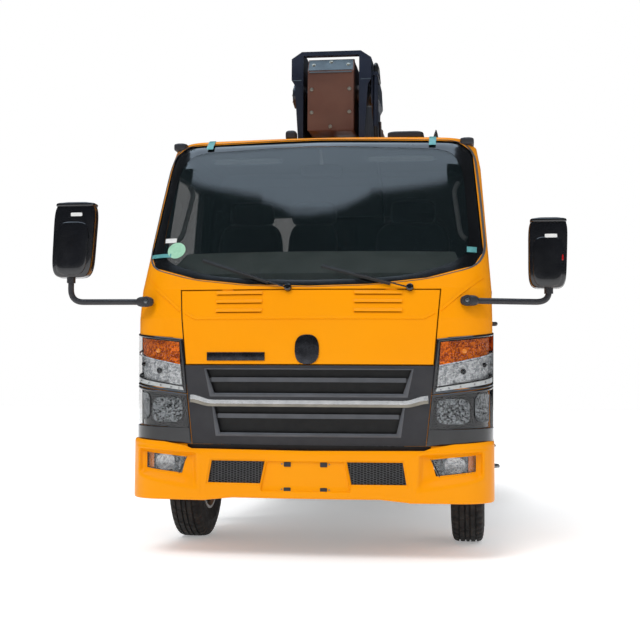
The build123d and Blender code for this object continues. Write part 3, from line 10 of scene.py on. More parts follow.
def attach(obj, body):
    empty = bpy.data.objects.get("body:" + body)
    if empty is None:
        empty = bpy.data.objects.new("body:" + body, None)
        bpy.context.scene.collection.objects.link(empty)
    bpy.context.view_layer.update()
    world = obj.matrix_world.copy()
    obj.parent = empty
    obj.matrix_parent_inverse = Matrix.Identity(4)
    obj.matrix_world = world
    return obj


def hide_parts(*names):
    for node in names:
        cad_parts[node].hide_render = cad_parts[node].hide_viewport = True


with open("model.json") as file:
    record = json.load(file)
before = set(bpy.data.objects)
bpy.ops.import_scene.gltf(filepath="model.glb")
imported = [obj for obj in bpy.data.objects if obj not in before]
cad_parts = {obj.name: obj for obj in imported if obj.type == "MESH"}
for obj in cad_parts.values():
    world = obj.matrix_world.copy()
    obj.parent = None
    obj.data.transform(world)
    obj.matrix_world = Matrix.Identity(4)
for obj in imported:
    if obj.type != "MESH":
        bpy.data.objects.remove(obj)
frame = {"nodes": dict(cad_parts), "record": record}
NODES = frame["nodes"]

bl_info = {
    "name": "Cherry picker truck looks",
    "version": (1, 0, 0),
    "blender": (4, 5, 0),
    "location": "View3D > Sidebar > Truck",
    "description": "Finishes, lamps, trim, tyres, cab fittings and boom details of a cherry picker truck",
    "category": "Object",
}

# Metres from here on. The cab's level sections: height, half width, front on the centre line, corner radius
CAB_SECTIONS = np.array([
    (0.560, 0.985, -2.946, 0.205),
    (1.300, 0.990, -2.962, 0.205),
    (1.465, 0.986, -2.930, 0.210),
    (2.200, 0.926, -2.600, 0.210),
    (2.330, 0.902, -2.530, 0.205),
    (2.378, 0.862, -2.470, 0.195),
    (2.402, 0.790, -2.370, 0.175),
])
BOW = 0.080
BOW_R = 3.6
BOW_HALF_W = 0.990
BOW_SAG = BOW_R * (1 / math.cos(math.atan2(BOW, BOW_HALF_W)) - 1)
BUMPER_FRONT_Y = -2.995
BUMPER_HALF_W = 1.000
BUMPER_R = 0.210
UP = np.array([0.0, 0.0, 1.0])
FRONT_AXLE_Y = -1.900
REAR_AXLE_Y = 1.460
AXLE_Z = 0.388
BOOM_PIVOT = np.array([0.0, -1.760, 2.800])
LIFT_FOOT = np.array([0.0, -0.560, 1.260])
LIFT_EYE = np.array([0.0, -1.200, 2.280])
SLEW_Y = -0.700
JACK_X = 0.935
BAND_LOWS = (0.52, 0.58, 0.64, 0.70)
PIPE_R = 0.0105
LOUVRE_Z = (1.335, 1.385, 1.432)
CAB_MIDDLE = np.array([0.0, -2.1, 1.5])
LINING_DEPTH = 0.012
LINING_LOW_Z = 0.80


# Shapes as pairs of points (n, 3) and a list of face index arrays
def grid(rows, columns, wrap=False):
    """Quads between neighbouring rows and columns of a grid; wrap joins the last column to the first."""
    r = np.arange(rows - 1)[:, None] * columns
    c = np.arange(columns if wrap else columns - 1)[None, :]
    n = (c + 1) % columns
    return np.stack([r + c, r + n, r + columns + n, r + columns + c], -1).reshape(-1, 4)


def outward(points, faces):
    """Turns every face of a closed shape round if its signed volume is negative."""
    volume = 0.0
    for array in faces:
        a, b, c = points[array[:, 0]], points[array[:, 1:-1]], points[array[:, 2:]]
        volume += (a[:, None] * np.cross(b, c)).sum()
    return points, faces if volume > 0 else [array[:, ::-1] for array in faces]


def slab(front, back, wrap=False, keep=None):
    """Closed plate between two like grids of points, each (rows, columns, 3); keep marks the cells that stay.

    A wall joins the two grids along each edge that only one kept cell has."""
    rows, columns = front.shape[:2]
    size = rows * columns
    faces = grid(rows, columns, wrap)
    if keep is not None:
        faces = faces[keep.reshape(-1)]
    start, end = faces.reshape(-1), np.roll(faces, -1, 1).reshape(-1)
    rim = ~np.isin(end * size + start, start * size + end)
    a, b = start[rim], end[rim]
    walls = np.stack([b, a, a + size, b + size], -1)
    points = np.concatenate([front.reshape(-1, 3), back.reshape(-1, 3)])
    return outward(points, [faces, faces[:, ::-1] + size, walls])


def ring(radius, count=16, turn=0.0):
    """Circle as (side, up) points."""
    angle = np.linspace(0, 2 * math.pi, count, endpoint=False) + turn
    return np.stack([radius * np.cos(angle), radius * np.sin(angle)], -1)


def oblong(width, height, radius, steps=4):
    """Rectangle with rounded corners as (side, up) points."""
    corners = []
    for turn, (sx, sy) in enumerate(((1, 1), (-1, 1), (-1, -1), (1, -1))):
        angle = np.linspace(0, math.pi / 2, steps) + turn * math.pi / 2
        centre = np.array([sx * (width / 2 - radius), sy * (height / 2 - radius)])
        corners.append(centre + radius * np.stack([np.cos(angle), np.sin(angle)], -1))
    return np.concatenate(corners)


def bent(points, cut, steps=7):
    """Path through the points whose corners are parabolas that start a cut before each corner."""
    points = np.asarray(points, float)
    runs = [points[:1]]
    t = np.linspace(0, 1, steps)[:, None]
    for before, corner, after in zip(points[:-2], points[1:-1], points[2:]):
        a, b = before - corner, after - corner
        la, lb = np.linalg.norm(a), np.linalg.norm(b)
        start = corner + a / la * min(cut, 0.45 * la)
        end = corner + b / lb * min(cut, 0.45 * lb)
        runs.append((1 - t) ** 2 * start + 2 * t * (1 - t) * corner + t ** 2 * end)
    return np.concatenate(runs + [points[-1:]])


def carried(path, section, up=UP, closed=False):
    """A closed section of (side, up) points carried along a path; side is square to the path and to up."""
    path = np.asarray(path, float)
    ahead = np.roll(path, -1, 0) - np.roll(path, 1, 0) if closed else np.gradient(path, axis=0)
    ahead = ahead / np.linalg.norm(ahead, axis=1, keepdims=True)
    side = np.cross(ahead, up)
    side = side / np.linalg.norm(side, axis=1, keepdims=True)
    rise = np.cross(side, ahead)
    section = np.asarray(section, float)
    rings = path[:, None] + section[None, :, :1] * side[:, None] + section[None, :, 1:] * rise[:, None]
    rows, columns = rings.shape[:2]
    if closed:
        rings = np.concatenate([rings, rings[:1]])
        return outward(rings.reshape(-1, 3), [grid(rows + 1, columns, True)])
    ends = [np.arange(columns)[None, ::-1], np.arange(rows * columns - columns, rows * columns)[None, :]]
    return outward(rings.reshape(-1, 3), [grid(rows, columns, True), *ends])


def turned(profile, start, along, count=32):
    """Profile of (distance along the axis, radius) pairs turned about the axis, from radius 0 to radius 0."""
    profile = np.asarray(profile, float)
    along = np.asarray(along, float) / np.linalg.norm(along)
    helper = UP if abs(along[2]) < 0.9 else np.array([1.0, 0.0, 0.0])
    e1 = np.cross(along, helper)
    e1 = e1 / np.linalg.norm(e1)
    e2 = np.cross(along, e1)
    angle = np.linspace(0, 2 * math.pi, count, endpoint=False)[None, :, None]
    round_it = np.cos(angle) * e1 + np.sin(angle) * e2
    reach, radius = profile[:, 0, None, None], profile[:, 1, None, None]
    points = np.asarray(start, float) + reach * along + radius * round_it
    return outward(points.reshape(-1, 3), [grid(len(profile), count, True)])


def hexagon_head(start, along, radius, height, washer=1.35):
    """Bolt head: a washer, six flats and a slightly domed top, by a turned profile of six sides."""
    wide, thin = radius * washer, height * 0.2
    disc = turned([(0, 0), (0, wide), (thin, wide), (thin, 0)], start, along, 18)
    head = turned([(height * 0.15, 0), (height * 0.15, radius), (height * 0.9, radius),
                   (height, radius * 0.8), (height, 0)], start, along, 6)
    return [disc, head]


def cuboid(low, high):
    """Box between two corners, as eight points and six faces."""
    low, high = np.asarray(low, float), np.asarray(high, float)
    pick = np.array([(x, y, z) for x in (0, 1) for y in (0, 1) for z in (0, 1)])
    points = low + pick * (high - low)
    faces = np.array([(0, 1, 3, 2), (4, 6, 7, 5), (0, 4, 5, 1), (2, 3, 7, 6), (0, 2, 6, 4), (1, 5, 7, 3)])
    return outward(points, [faces])


def pillow(centre, half, power=4.0, rows=24, columns=48):
    """Superellipsoid |x|^n + |y|^n + |z|^n = 1 at the half sizes; a high power is a soft-edged box."""
    v = np.linspace(-math.pi / 2, math.pi / 2, rows)[:, None]
    u = np.linspace(0, 2 * math.pi, columns, endpoint=False)[None, :]

    def soft(value):
        return np.sign(value) * np.abs(value) ** (2.0 / power)

    xyz = np.stack([soft(np.cos(v)) * soft(np.cos(u)), soft(np.cos(v)) * soft(np.sin(u)),
                    soft(np.sin(v)) + 0 * u], -1)
    points = np.asarray(centre, float) + xyz * np.asarray(half, float)
    return outward(points.reshape(-1, 3), [grid(rows, columns, True)])


def build(name, groups, body="root", replaces=(), bevel=0.0, sharp=32.0):
    """One object from (material, shapes) groups; equal points are merged, flat joints stay sharp."""
    mesh = bpy.data.meshes.new(name)
    points, faces, marks, start = [], [], [], 0
    for index, (material, shapes) in enumerate(groups):
        mesh.materials.append(material)
        for shape_points, arrays in shapes:
            points.append(shape_points)
            for array in arrays:
                faces += (array + start).tolist()
                marks += [index] * len(array)
            start += len(shape_points)
    mesh.from_pydata(np.concatenate(points).tolist(), [], faces)
    mesh.polygons.foreach_set("material_index", marks)
    work = bmesh.new()
    work.from_mesh(mesh)
    bmesh.ops.remove_doubles(work, verts=work.verts, dist=1e-7)
    bmesh.ops.dissolve_degenerate(work, edges=work.edges, dist=1e-8)
    work.to_mesh(mesh)
    work.free()
    mesh.shade_smooth()
    mesh.set_sharp_from_angle(angle=math.radians(sharp))
    piece = bpy.data.objects.new(name, mesh)
    bpy.context.scene.collection.objects.link(piece)
    if bevel:
        edge = piece.modifiers.new("Soft edges", "BEVEL")
        edge.width = bevel
        edge.segments = 2
        edge.angle_limit = math.radians(40)
        edge.harden_normals = True
    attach(piece, body)
    if replaces:
        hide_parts(*replaces)
    return piece


# The cab's skin, so that lamps, glass edges and trim lie on it
def cab_row(z, inset=0.0):
    """Half width, vertex, corner radius and bow angle of the cab's outline at a height, less an inset."""
    level = z + inset * np.clip((z - 2.2) / 0.13, 0, 1)
    half, front, radius = (np.interp(level, CAB_SECTIONS[:, 0], CAB_SECTIONS[:, k]) for k in (1, 2, 3))
    half, radius = half - inset, radius - 0.8 * inset
    vertex = front + inset - BOW_SAG
    return half, vertex, radius, np.arctan2(BOW, half)


def outline_point(w, half, vertex, radius, lean):
    """Plan point (x, y) of a bowed front: a wide arc, a straight run, a round corner and the straight side.

    w is x as far as the corner's start, then the length along the corner and the side."""
    side, w = np.sign(w), np.abs(w)
    centre_x = half - radius
    centre_y = vertex + centre_x * np.tan(lean) + radius / np.cos(lean)
    start = centre_x + radius * np.sin(lean)
    arc = np.clip((w - start) / radius, 0, math.pi / 2 - lean)
    past = np.maximum(w - start - radius * (math.pi / 2 - lean), 0)
    bowed = vertex + BOW_R / np.cos(lean) - np.sqrt(np.maximum(BOW_R ** 2 - w ** 2, 0))
    straight = vertex + w * np.tan(lean)
    front_y = np.where(w < BOW_R * np.sin(lean), bowed, straight)
    x = np.where(w <= start, w, centre_x + radius * np.sin(lean + arc))
    y = np.where(w <= start, front_y, centre_y - radius * np.cos(lean + arc) + past)
    return side * x, y


def cab_skin(w, z, inset=0.0):
    """Points of the cab's skin at (w, z), drawn in by an inset; a negative inset stands proud."""
    w, z = np.broadcast_arrays(np.asarray(w, float), np.asarray(z, float))
    x, y = outline_point(w, *cab_row(z, inset))
    return np.stack([x, y, z], -1)


def unrolled(x, z, row=cab_row):
    """w of a point of the skin that is seen at x from the front."""
    half, _, radius, lean = row(np.asarray(z, float))
    x = np.asarray(x, float)
    centre_x = half - radius
    start = centre_x + radius * np.sin(lean)
    angle = np.arcsin(np.clip((np.abs(x) - centre_x) / radius, -1, 1))
    return np.sign(x) * np.where(np.abs(x) <= start, np.abs(x), start + radius * (angle - lean))


def on_cab(x, z, inset=0.0):
    """Points of the cab's skin that are seen at (x, z) from the front."""
    z = z + 0 * np.asarray(x, float)
    return cab_skin(unrolled(x, z), z, inset)


def bumper_row(z, inset=0.0):
    """Half width, vertex, corner radius and bow angle of the bumper's outline, drawn in by an inset."""
    vertex = BUMPER_FRONT_Y - BOW_SAG + inset
    return (BUMPER_HALF_W - inset + 0 * z, vertex, BUMPER_R - inset,
            math.atan2(BOW, BUMPER_HALF_W) + 0 * np.asarray(z))


def bumper_skin(w, z, inset=0.0):
    """Points of the bumper's skin at (w, z), drawn in by an inset."""
    w, z, inset = np.broadcast_arrays(np.asarray(w, float), np.asarray(z, float), np.asarray(inset, float))
    x, y = outline_point(w, *bumper_row(z, inset))
    return np.stack([x, y, z], -1)


def between(corners, rows, columns):
    """Bilinear grid of (x, z) between four corners: top left, top right, bottom right, bottom left."""
    tl, tr, br, bl = (np.asarray(corner, float) for corner in corners)
    v = np.linspace(0, 1, rows)[:, None, None]
    u = np.linspace(0, 1, columns)[None, :, None]
    return (1 - v) * ((1 - u) * tl + u * tr) + v * ((1 - u) * bl + u * br)


def unrolled_corners(corners, row=cab_row):
    """Corners (w, z) on a skin of corners (x, z) that are seen from the front."""
    return [(float(unrolled(x, z, row)), z) for x, z in corners]


def skin_plate(corners, inset, depth, rows=8, columns=10, skin=cab_skin, row=cab_row):
    """Four-sided plate on the skin, from an inset down to a depth; corners are (x, z) from the front."""
    flat = between(unrolled_corners(corners, row), rows, columns)
    return slab(skin(flat[..., 0], flat[..., 1], inset), skin(flat[..., 0], flat[..., 1], depth))


def resampled(path, count):
    """A path with points at even distances along it."""
    path = np.asarray(path, float)
    run = np.concatenate([[0], np.cumsum(np.linalg.norm(np.diff(path, axis=0), axis=1))])
    even = np.linspace(0, run[-1], count)
    return np.stack([np.interp(even, run, path[:, k]) for k in range(path.shape[1])], -1)


def walked(corners, count):
    """Closed outline through the corners, with the same number of points on each side."""
    corners = np.asarray(corners, float)
    after = np.roll(corners, -1, 0)
    return np.concatenate([np.linspace(a, b, count, endpoint=False) for a, b in zip(corners, after)])


def around(half, cut, count):
    """Closed symmetrical outline of (x, z) points from its right half, which ends on the centre line."""
    right = resampled(bent(half, cut), count)
    return np.concatenate([right, right[-2:0:-1] * np.array([-1.0, 1.0])])


def skin_ring(outer, inner, proud, back, rows=3, skin=cab_skin, row=cab_row):
    """Ring on the skin between two like outlines, with its crown proud of its edges.

    proud is the inset of the crown, back that of the rear face; the edges lie half way between."""
    share = np.linspace(0, 1, rows)[:, None, None]
    flat = (1 - share) * np.asarray(outer)[None] + share * np.asarray(inner)[None]
    w = unrolled(flat[..., 0], flat[..., 1], row)
    crown = np.sin(np.linspace(0, math.pi, rows))[:, None]
    front = skin(w, flat[..., 1], proud + (1 - crown) * (back - proud) * 0.5)
    return slab(front, skin(w, flat[..., 1], back), wrap=True)


def plate(corners, inset, thick, rows=10, columns=16, skin=cab_skin, hollow=None):
    """Four-sided plate on a skin; corners are (w, z); hollow gives the added depth at each point (w, z)."""
    flat = between(corners, rows, columns)
    depth = inset + (hollow(flat) if hollow else 0 * flat[..., 0])
    return slab(skin(flat[..., 0], flat[..., 1], depth), skin(flat[..., 0], flat[..., 1], depth + thick))


def hoop(outer, inner, proud, back, count=10, skin=cab_skin):
    """Four-sided ring between two (w, z) quadrilaterals, rounded across."""
    share = np.linspace(0, 1, 4)[:, None, None]
    flat = (1 - share) * walked(outer, count) + share * walked(inner, count)
    lift = np.array([0.35, 0.0, 0.0, 0.35])[:, None] * (back - proud)
    front = skin(flat[..., 0], flat[..., 1], proud + lift)
    return slab(front, skin(flat[..., 0], flat[..., 1], back), wrap=True)


def mirrored(shapes):
    """The same shapes on the other side of the centre plane, turned so that their faces stay outward."""
    flip = np.array([-1.0, 1.0, 1.0])
    return [(points * flip, [array[:, ::-1] for array in faces]) for points, faces in shapes]


def both(shapes):
    """Shapes and their mirror images."""
    return shapes + mirrored(shapes)


def smooth(value, start, end):
    """Cubic step from 0 at start to 1 at end."""
    t = np.clip((value - start) / (end - start), 0, 1)
    return t * t * (3 - 2 * t)


# Materials
def linear(code):
    """Linear RGBA of an sRGB hex colour."""
    parts = [int(code[i:i + 2], 16) / 255 for i in (1, 3, 5)]
    return tuple(c / 12.92 if c <= 0.04045 else ((c + 0.055) / 1.055) ** 2.4 for c in parts) + (1.0,)


def add(tree, kind, inputs=(), **settings):
    """Adds a shader node: settings are its properties, inputs its sockets' values or what feeds them."""
    made = tree.nodes.new("ShaderNode" + kind)
    for key, value in settings.items():
        setattr(made, key, value)
    for key, value in dict(inputs).items():
        if isinstance(value, bpy.types.NodeSocket):
            tree.links.new(value, made.inputs[key])
        else:
            made.inputs[key].default_value = value
    return made


def blank(name):
    """A new material with an empty node tree, and its shader node and output."""
    material = bpy.data.materials.new(name)
    material.use_nodes = True
    tree = material.node_tree
    tree.nodes.clear()
    shader = add(tree, "BsdfPrincipled")
    add(tree, "OutputMaterial", {"Surface": shader.outputs["BSDF"]})
    return material, tree, shader


def scaled(tree, size_mm, stretch=(1, 1, 1)):
    """Object coordinates in units of a real size, stretched along an axis where the pattern is drawn out."""
    where = add(tree, "TexCoord").outputs["Object"]
    scale = [1000.0 / size_mm / s for s in stretch]
    return add(tree, "Mapping", {"Vector": where, "Scale": scale}).outputs["Vector"]


def noise(tree, size_mm, detail=3.0, stretch=(1, 1, 1)):
    """Noise whose lumps are about a real size."""
    where = scaled(tree, size_mm, stretch)
    return add(tree, "TexNoise", {"Vector": where, "Scale": 1.0, "Detail": detail}).outputs["Fac"]


def ranged(tree, value, low, high, new_low=0.0, new_high=1.0):
    """A value mapped from one range to another and kept within it."""
    made = add(tree, "MapRange", {"Value": value, "From Min": low, "From Max": high, "To Min": new_low,
                                  "To Max": new_high})
    return made.outputs["Result"]


def mixed(tree, share, first, second, blend_type="MIX"):
    """A colour between two, by a share."""
    made = add(tree, "MixRGB", {"Fac": share, "Color1": first, "Color2": second}, blend_type=blend_type)
    return made.outputs["Color"]


def bumped(tree, height, height_mm):
    """Normal of a relief of a real height."""
    return add(tree, "Bump", {"Height": height, "Distance": height_mm / 1000}).outputs["Normal"]


def dressed(tree, shader, tone, normal=None, values=()):
    """Feeds the shader its colour and normal and sets its other sockets."""
    tree.links.new(tone, shader.inputs["Base Color"])
    if normal:
        tree.links.new(normal, shader.inputs["Normal"])
    for key, value in dict(values).items():
        shader.inputs[key].default_value = value


def surface(name, colour, second, spread_mm, roughness, bump=None, dust=None, stretch=(1, 1, 1), settings=()):
    """A finish: two near colours in lumps, roughness that varies, a fine bump and settled dust.

    roughness is (low, high), bump (kind, size in mm, height in mm), dust (colour, share, lump in mm)."""
    material, tree, shader = blank(name)
    lumps = noise(tree, spread_mm, 4.0, stretch)
    tone = mixed(tree, ranged(tree, lumps, 0.35, 0.65), linear(colour), linear(second))
    rough = ranged(tree, noise(tree, spread_mm * 0.37, 3.0, stretch), 0.3, 0.7, *roughness)
    if dust:
        patch = ranged(tree, noise(tree, dust[2], 6.0), 0.42, 0.72, 0.0, dust[1])
        tone = mixed(tree, patch, tone, linear(dust[0]))
        rough = add(tree, "Math", {0: rough, 1: patch}, operation="MAXIMUM").outputs[0]
    normal = None
    if bump:
        kind, size_mm, height_mm = bump
        if kind == "cells":
            where = scaled(tree, size_mm, stretch)
            height = add(tree, "TexVoronoi", {"Vector": where, "Scale": 1.0}).outputs["Distance"]
        else:
            height = noise(tree, size_mm, 2.0, stretch)
        normal = bumped(tree, height, height_mm)
    tree.links.new(rough, shader.inputs["Roughness"])
    dressed(tree, shader, tone, normal, settings)
    return material


COAT = {"Coat Weight": 0.6, "Coat Roughness": 0.06}


def cab_enamel(colour):
    """Two-pack road enamel, sprayed: deep yellow with a clear gloss and a faint orange peel."""
    return surface("Sprayed yellow enamel", colour, "#EC9200", 700, (0.30, 0.38), ("noise", 5, 0.010),
                   ("#C98A1E", 0.06, 260), settings={"Specular IOR Level": 0.10, "Coat Weight": 0.08,
                                                      "Coat Roughness": 0.08})


def turret_enamel():
    """Blue-black machine enamel over steel plate: near black that turns navy where light grazes it."""
    return surface("Blue-black machine enamel", "#1B2334", "#141A28", 300, (0.3, 0.42), ("noise", 6, 0.03),
                   ("#3A3F49", 0.18, 120), settings={"Coat Weight": 0.35, "Coat Roughness": 0.12})


def boom_enamel():
    """Red-brown oxide enamel of the boom: satin, a little uneven from the brush."""
    return surface("Red-brown oxide enamel", "#5A3A2E", "#4C2F26", 220, (0.38, 0.52), ("noise", 7, 0.04),
                   ("#7A6254", 0.14, 150), settings={"Coat Weight": 0.2, "Coat Roughness": 0.2})


def chassis_enamel():
    """Dip-painted chassis black with road dust baked on: dull black that greys in patches."""
    return surface("Dipped chassis black", "#17181A", "#1F2022", 180, (0.5, 0.65), ("noise", 9, 0.06),
                   ("#4A4640", 0.35, 90))


def cast_iron():
    """Sand-cast iron, oily: grey-brown with a pitted skin."""
    return surface("Sand-cast iron", "#3B3A38", "#2A2927", 60, (0.55, 0.7), ("cells", 4, 0.25),
                   ("#574F45", 0.3, 70), settings={"Metallic": 0.4})


def mill_aluminium():
    """Mill-finish aluminium sheet and tube: pale grey, drawn lines along its length, soft glare."""
    return surface("Mill-finish aluminium", "#B9BCBE", "#A3A7AA", 40, (0.3, 0.48), ("noise", 1.6, 0.012),
                   ("#8C8880", 0.15, 160), stretch=(1, 14, 1), settings={"Metallic": 0.9})


def moulded_black():
    """Moulded polypropylene, grained: charcoal with a leather-like grain that dulls the gloss."""
    return surface("Grained polypropylene", "#26262A", "#2C2C30", 150, (0.45, 0.58), ("cells", 2.2, 0.08),
                   ("#4C4A46", 0.10, 120))


def gloss_black():
    """Moulded ABS with a polished tool: black with a clean highlight."""
    return surface("Polished ABS", "#0D0E11", "#131418", 200, (0.16, 0.26), ("noise", 12, 0.01),
                   settings=COAT)


def bright_chrome():
    """Chromed plastic trim: mirror bright with a hint of haze."""
    return surface("Chromed trim", "#F0F1F2", "#DFE1E3", 60, (0.10, 0.18), settings={"Metallic": 0.85})


def hard_chrome():
    """Hard chrome on a ground rod: bright, with faint ring marks round it."""
    return surface("Hard chrome", "#C9CBCD", "#B6B8BB", 30, (0.10, 0.2), ("noise", 1.2, 0.01),
                   settings={"Metallic": 1.0})


def ground_steel():
    """Ground and zinc-flaked steel: mid grey, directional, slightly stained."""
    return surface("Ground steel", "#8F9295", "#7C7F83", 50, (0.3, 0.45), ("noise", 2.0, 0.02),
                   ("#6B5A48", 0.12, 60), stretch=(1, 1, 10), settings={"Metallic": 0.9})


def wheel_enamel():
    """Silver-white wheel enamel with brake dust: pale, greyer in patches."""
    return surface("Silver-white wheel enamel", "#B4B4B0", "#A4A39E", 90, (0.35, 0.5), ("noise", 5, 0.03),
                   ("#5E554A", 0.3, 45), settings={"Metallic": 0.3})


def tyre_rubber():
    """Vulcanised tyre rubber: charcoal, matt, with fine mould grain and dry dust on it."""
    return surface("Vulcanised tyre rubber", "#1C1C1D", "#232323", 60, (0.68, 0.85), ("noise", 3, 0.12),
                   ("#5A5650", 0.28, 55), settings={"Specular IOR Level": 0.3})


def hose_rubber():
    """Black rubber of hoses, seals, pads and wiper blades: dull, with a fine grain."""
    return surface("Wrapped hose rubber", "#141415", "#1B1B1C", 30, (0.5, 0.62), ("cells", 1.8, 0.1))


def seat_cloth():
    """Woven seat cloth: dark grey with a crossed rib; the rib is drawn at 5 mm so that it shows."""
    material, tree, shader = blank("Ribbed seat cloth")
    ribs = [add(tree, "TexWave", {"Vector": scaled(tree, 5.0), "Scale": 1.0, "Distortion": 0.6},
                bands_direction=axis).outputs["Fac"] for axis in ("X", "Z")]
    woven = add(tree, "Math", {0: ribs[0], 1: ribs[1]}, operation="MULTIPLY").outputs[0]
    tone = mixed(tree, woven, linear("#1D1F24"), linear("#3A3E46"))
    dressed(tree, shader, tone, bumped(tree, woven, 0.8), {"Roughness": 0.85, "Sheen Weight": 0.4})
    return material


def dash_plastic():
    """Soft-grained dashboard moulding: grey-green and dull, so that it doesn't mirror in the glass."""
    return surface("Grey-green dash moulding", "#A9B3AD", "#99A39D", 120, (0.6, 0.72), ("cells", 2.5, 0.1))


def cab_glazing():
    """Laminated, green tinted safety glass: dark from outside, with a full gloss on both faces."""
    material, tree, shader = blank("Tinted laminated glass")
    tone = mixed(tree, noise(tree, 600, 2.0), linear("#10181A"), linear("#172225"))
    dressed(tree, shader, tone, values={"Roughness": 0.03, "Alpha": 0.46, "IOR": 1.52, "Coat Weight": 1.0,
                                        "Coat Roughness": 0.02})
    return material


def clear_lens():
    """Clear polycarbonate lens: nearly invisible but for its gloss and a faint moulded ripple."""
    material, tree, shader = blank("Clear polycarbonate lens")
    ripple = noise(tree, 14, 1.0)
    tone = mixed(tree, ripple, linear("#16181A"), linear("#202224"))
    dressed(tree, shader, tone, bumped(tree, ripple, 0.4),
            {"Roughness": 0.05, "Alpha": 0.10, "Coat Weight": 1.0})
    return material


def faceted(name, colour, second, cell_mm, metallic, roughness, height_mm):
    """Moulded lamp optics: small cells with a bump, each given a colour between two as a painted glint."""
    material, tree, shader = blank(name)
    cells = add(tree, "TexVoronoi", {"Vector": scaled(tree, cell_mm), "Scale": 1.0})
    # Each cell's colour between the dark and the bright tone is a painted glint, not the moulding's own colour.
    glint = ranged(tree, add(tree, "SeparateXYZ", {"Vector": cells.outputs["Color"]}).outputs[0], 0.2, 0.8)
    tone = mixed(tree, glint, linear(colour), linear(second))
    normal = bumped(tree, cells.outputs["Distance"], height_mm)
    dressed(tree, shader, tone, normal, {"Metallic": metallic, "Roughness": roughness})
    return material


def chequer_aluminium():
    """Rolled chequer plate: mill aluminium with short raised bars, drawn as crossed ridges at 30 mm."""
    material, tree, shader = blank("Rolled chequer plate")
    where = scaled(tree, 30.0)
    diagonal = add(tree, "Mapping", {"Vector": where, "Rotation": (0, 0, math.radians(45))}).outputs["Vector"]
    waves = [add(tree, "TexWave", {"Vector": diagonal, "Scale": 1.0}, bands_direction=axis).outputs["Fac"]
             for axis in ("X", "Y")]
    bars = add(tree, "Math", {0: waves[0], 1: waves[1]}, operation="MULTIPLY").outputs[0]
    raised = ranged(tree, bars, 0.45, 0.62)
    grime = ranged(tree, noise(tree, 140, 5.0), 0.4, 0.7, 0.0, 0.5)
    tone = mixed(tree, grime, mixed(tree, raised, linear("#9C9F9E"), linear("#C2C4C3")), linear("#77736B"))
    dressed(tree, shader, tone, bumped(tree, raised, 2.0), {"Metallic": 0.8, "Roughness": 0.42})
    return material


PLAIN = {}


def shade(name, *arguments, **settings):
    """A finish that several pieces share, made on its first use."""
    if name not in PLAIN:
        PLAIN[name] = surface(name, *arguments, **settings)
    return PLAIN[name]


FINISHES = {
    "turret_black": turret_enamel, "boom_brown": boom_enamel, "chassis_black": chassis_enamel,
    "engine_grey": cast_iron, "bare_aluminium": mill_aluminium, "black_plastic": moulded_black,
    "seat_cloth": seat_cloth, "dash_plastic": dash_plastic, "chromed_rod": hard_chrome,
    "leg_steel": ground_steel, "tyre_rubber": tyre_rubber, "rim_white": wheel_enamel,
    "tinted_glass": cab_glazing, "lamp_lens": clear_lens, "gloss_black": gloss_black,
    "chrome": bright_chrome, "hose": hose_rubber, "chequer": chequer_aluminium,
}
MADE = {}


def looks(name):
    """The material of a finish, made on its first use."""
    if name not in MADE:
        paint = bpy.context.scene.truck_looks.paint_hex
        MADE[name] = cab_enamel(paint) if name == "cab_yellow" else FINISHES[name]()
    return MADE[name]


class TruckLooks(bpy.types.PropertyGroup):
    """Sizes and colours that a user would change."""
    paint_hex: bpy.props.StringProperty(name="Cab paint", description="sRGB hex colour of the cab enamel",
                                        default="#EF9600")
    lens_mm: bpy.props.FloatProperty(name="Lens", description="Focal length in millimetres, 36 mm sensor",
                                     default=69.22, min=20, max=200)
    camera_place: bpy.props.FloatVectorProperty(name="Camera", description="Place of the camera", size=3,
                                                default=(0.957, -9.509, 0.892), subtype="TRANSLATION",
                                                unit="LENGTH")
    camera_turn: bpy.props.FloatVectorProperty(name="Camera turn", description="Yaw, pitch and roll", size=3,
                                               default=[math.radians(a) for a in (7.71, 3.41, 0.345)],
                                               subtype="EULER")
    floor_size: bpy.props.FloatProperty(name="Floor", description="Side of the floor", default=120.0,
                                        unit="LENGTH")


SKY_TILT = -0.0863
CLOUD_SHARE = 0.006
SKY_EDGE = (0.8450, 0.8490)


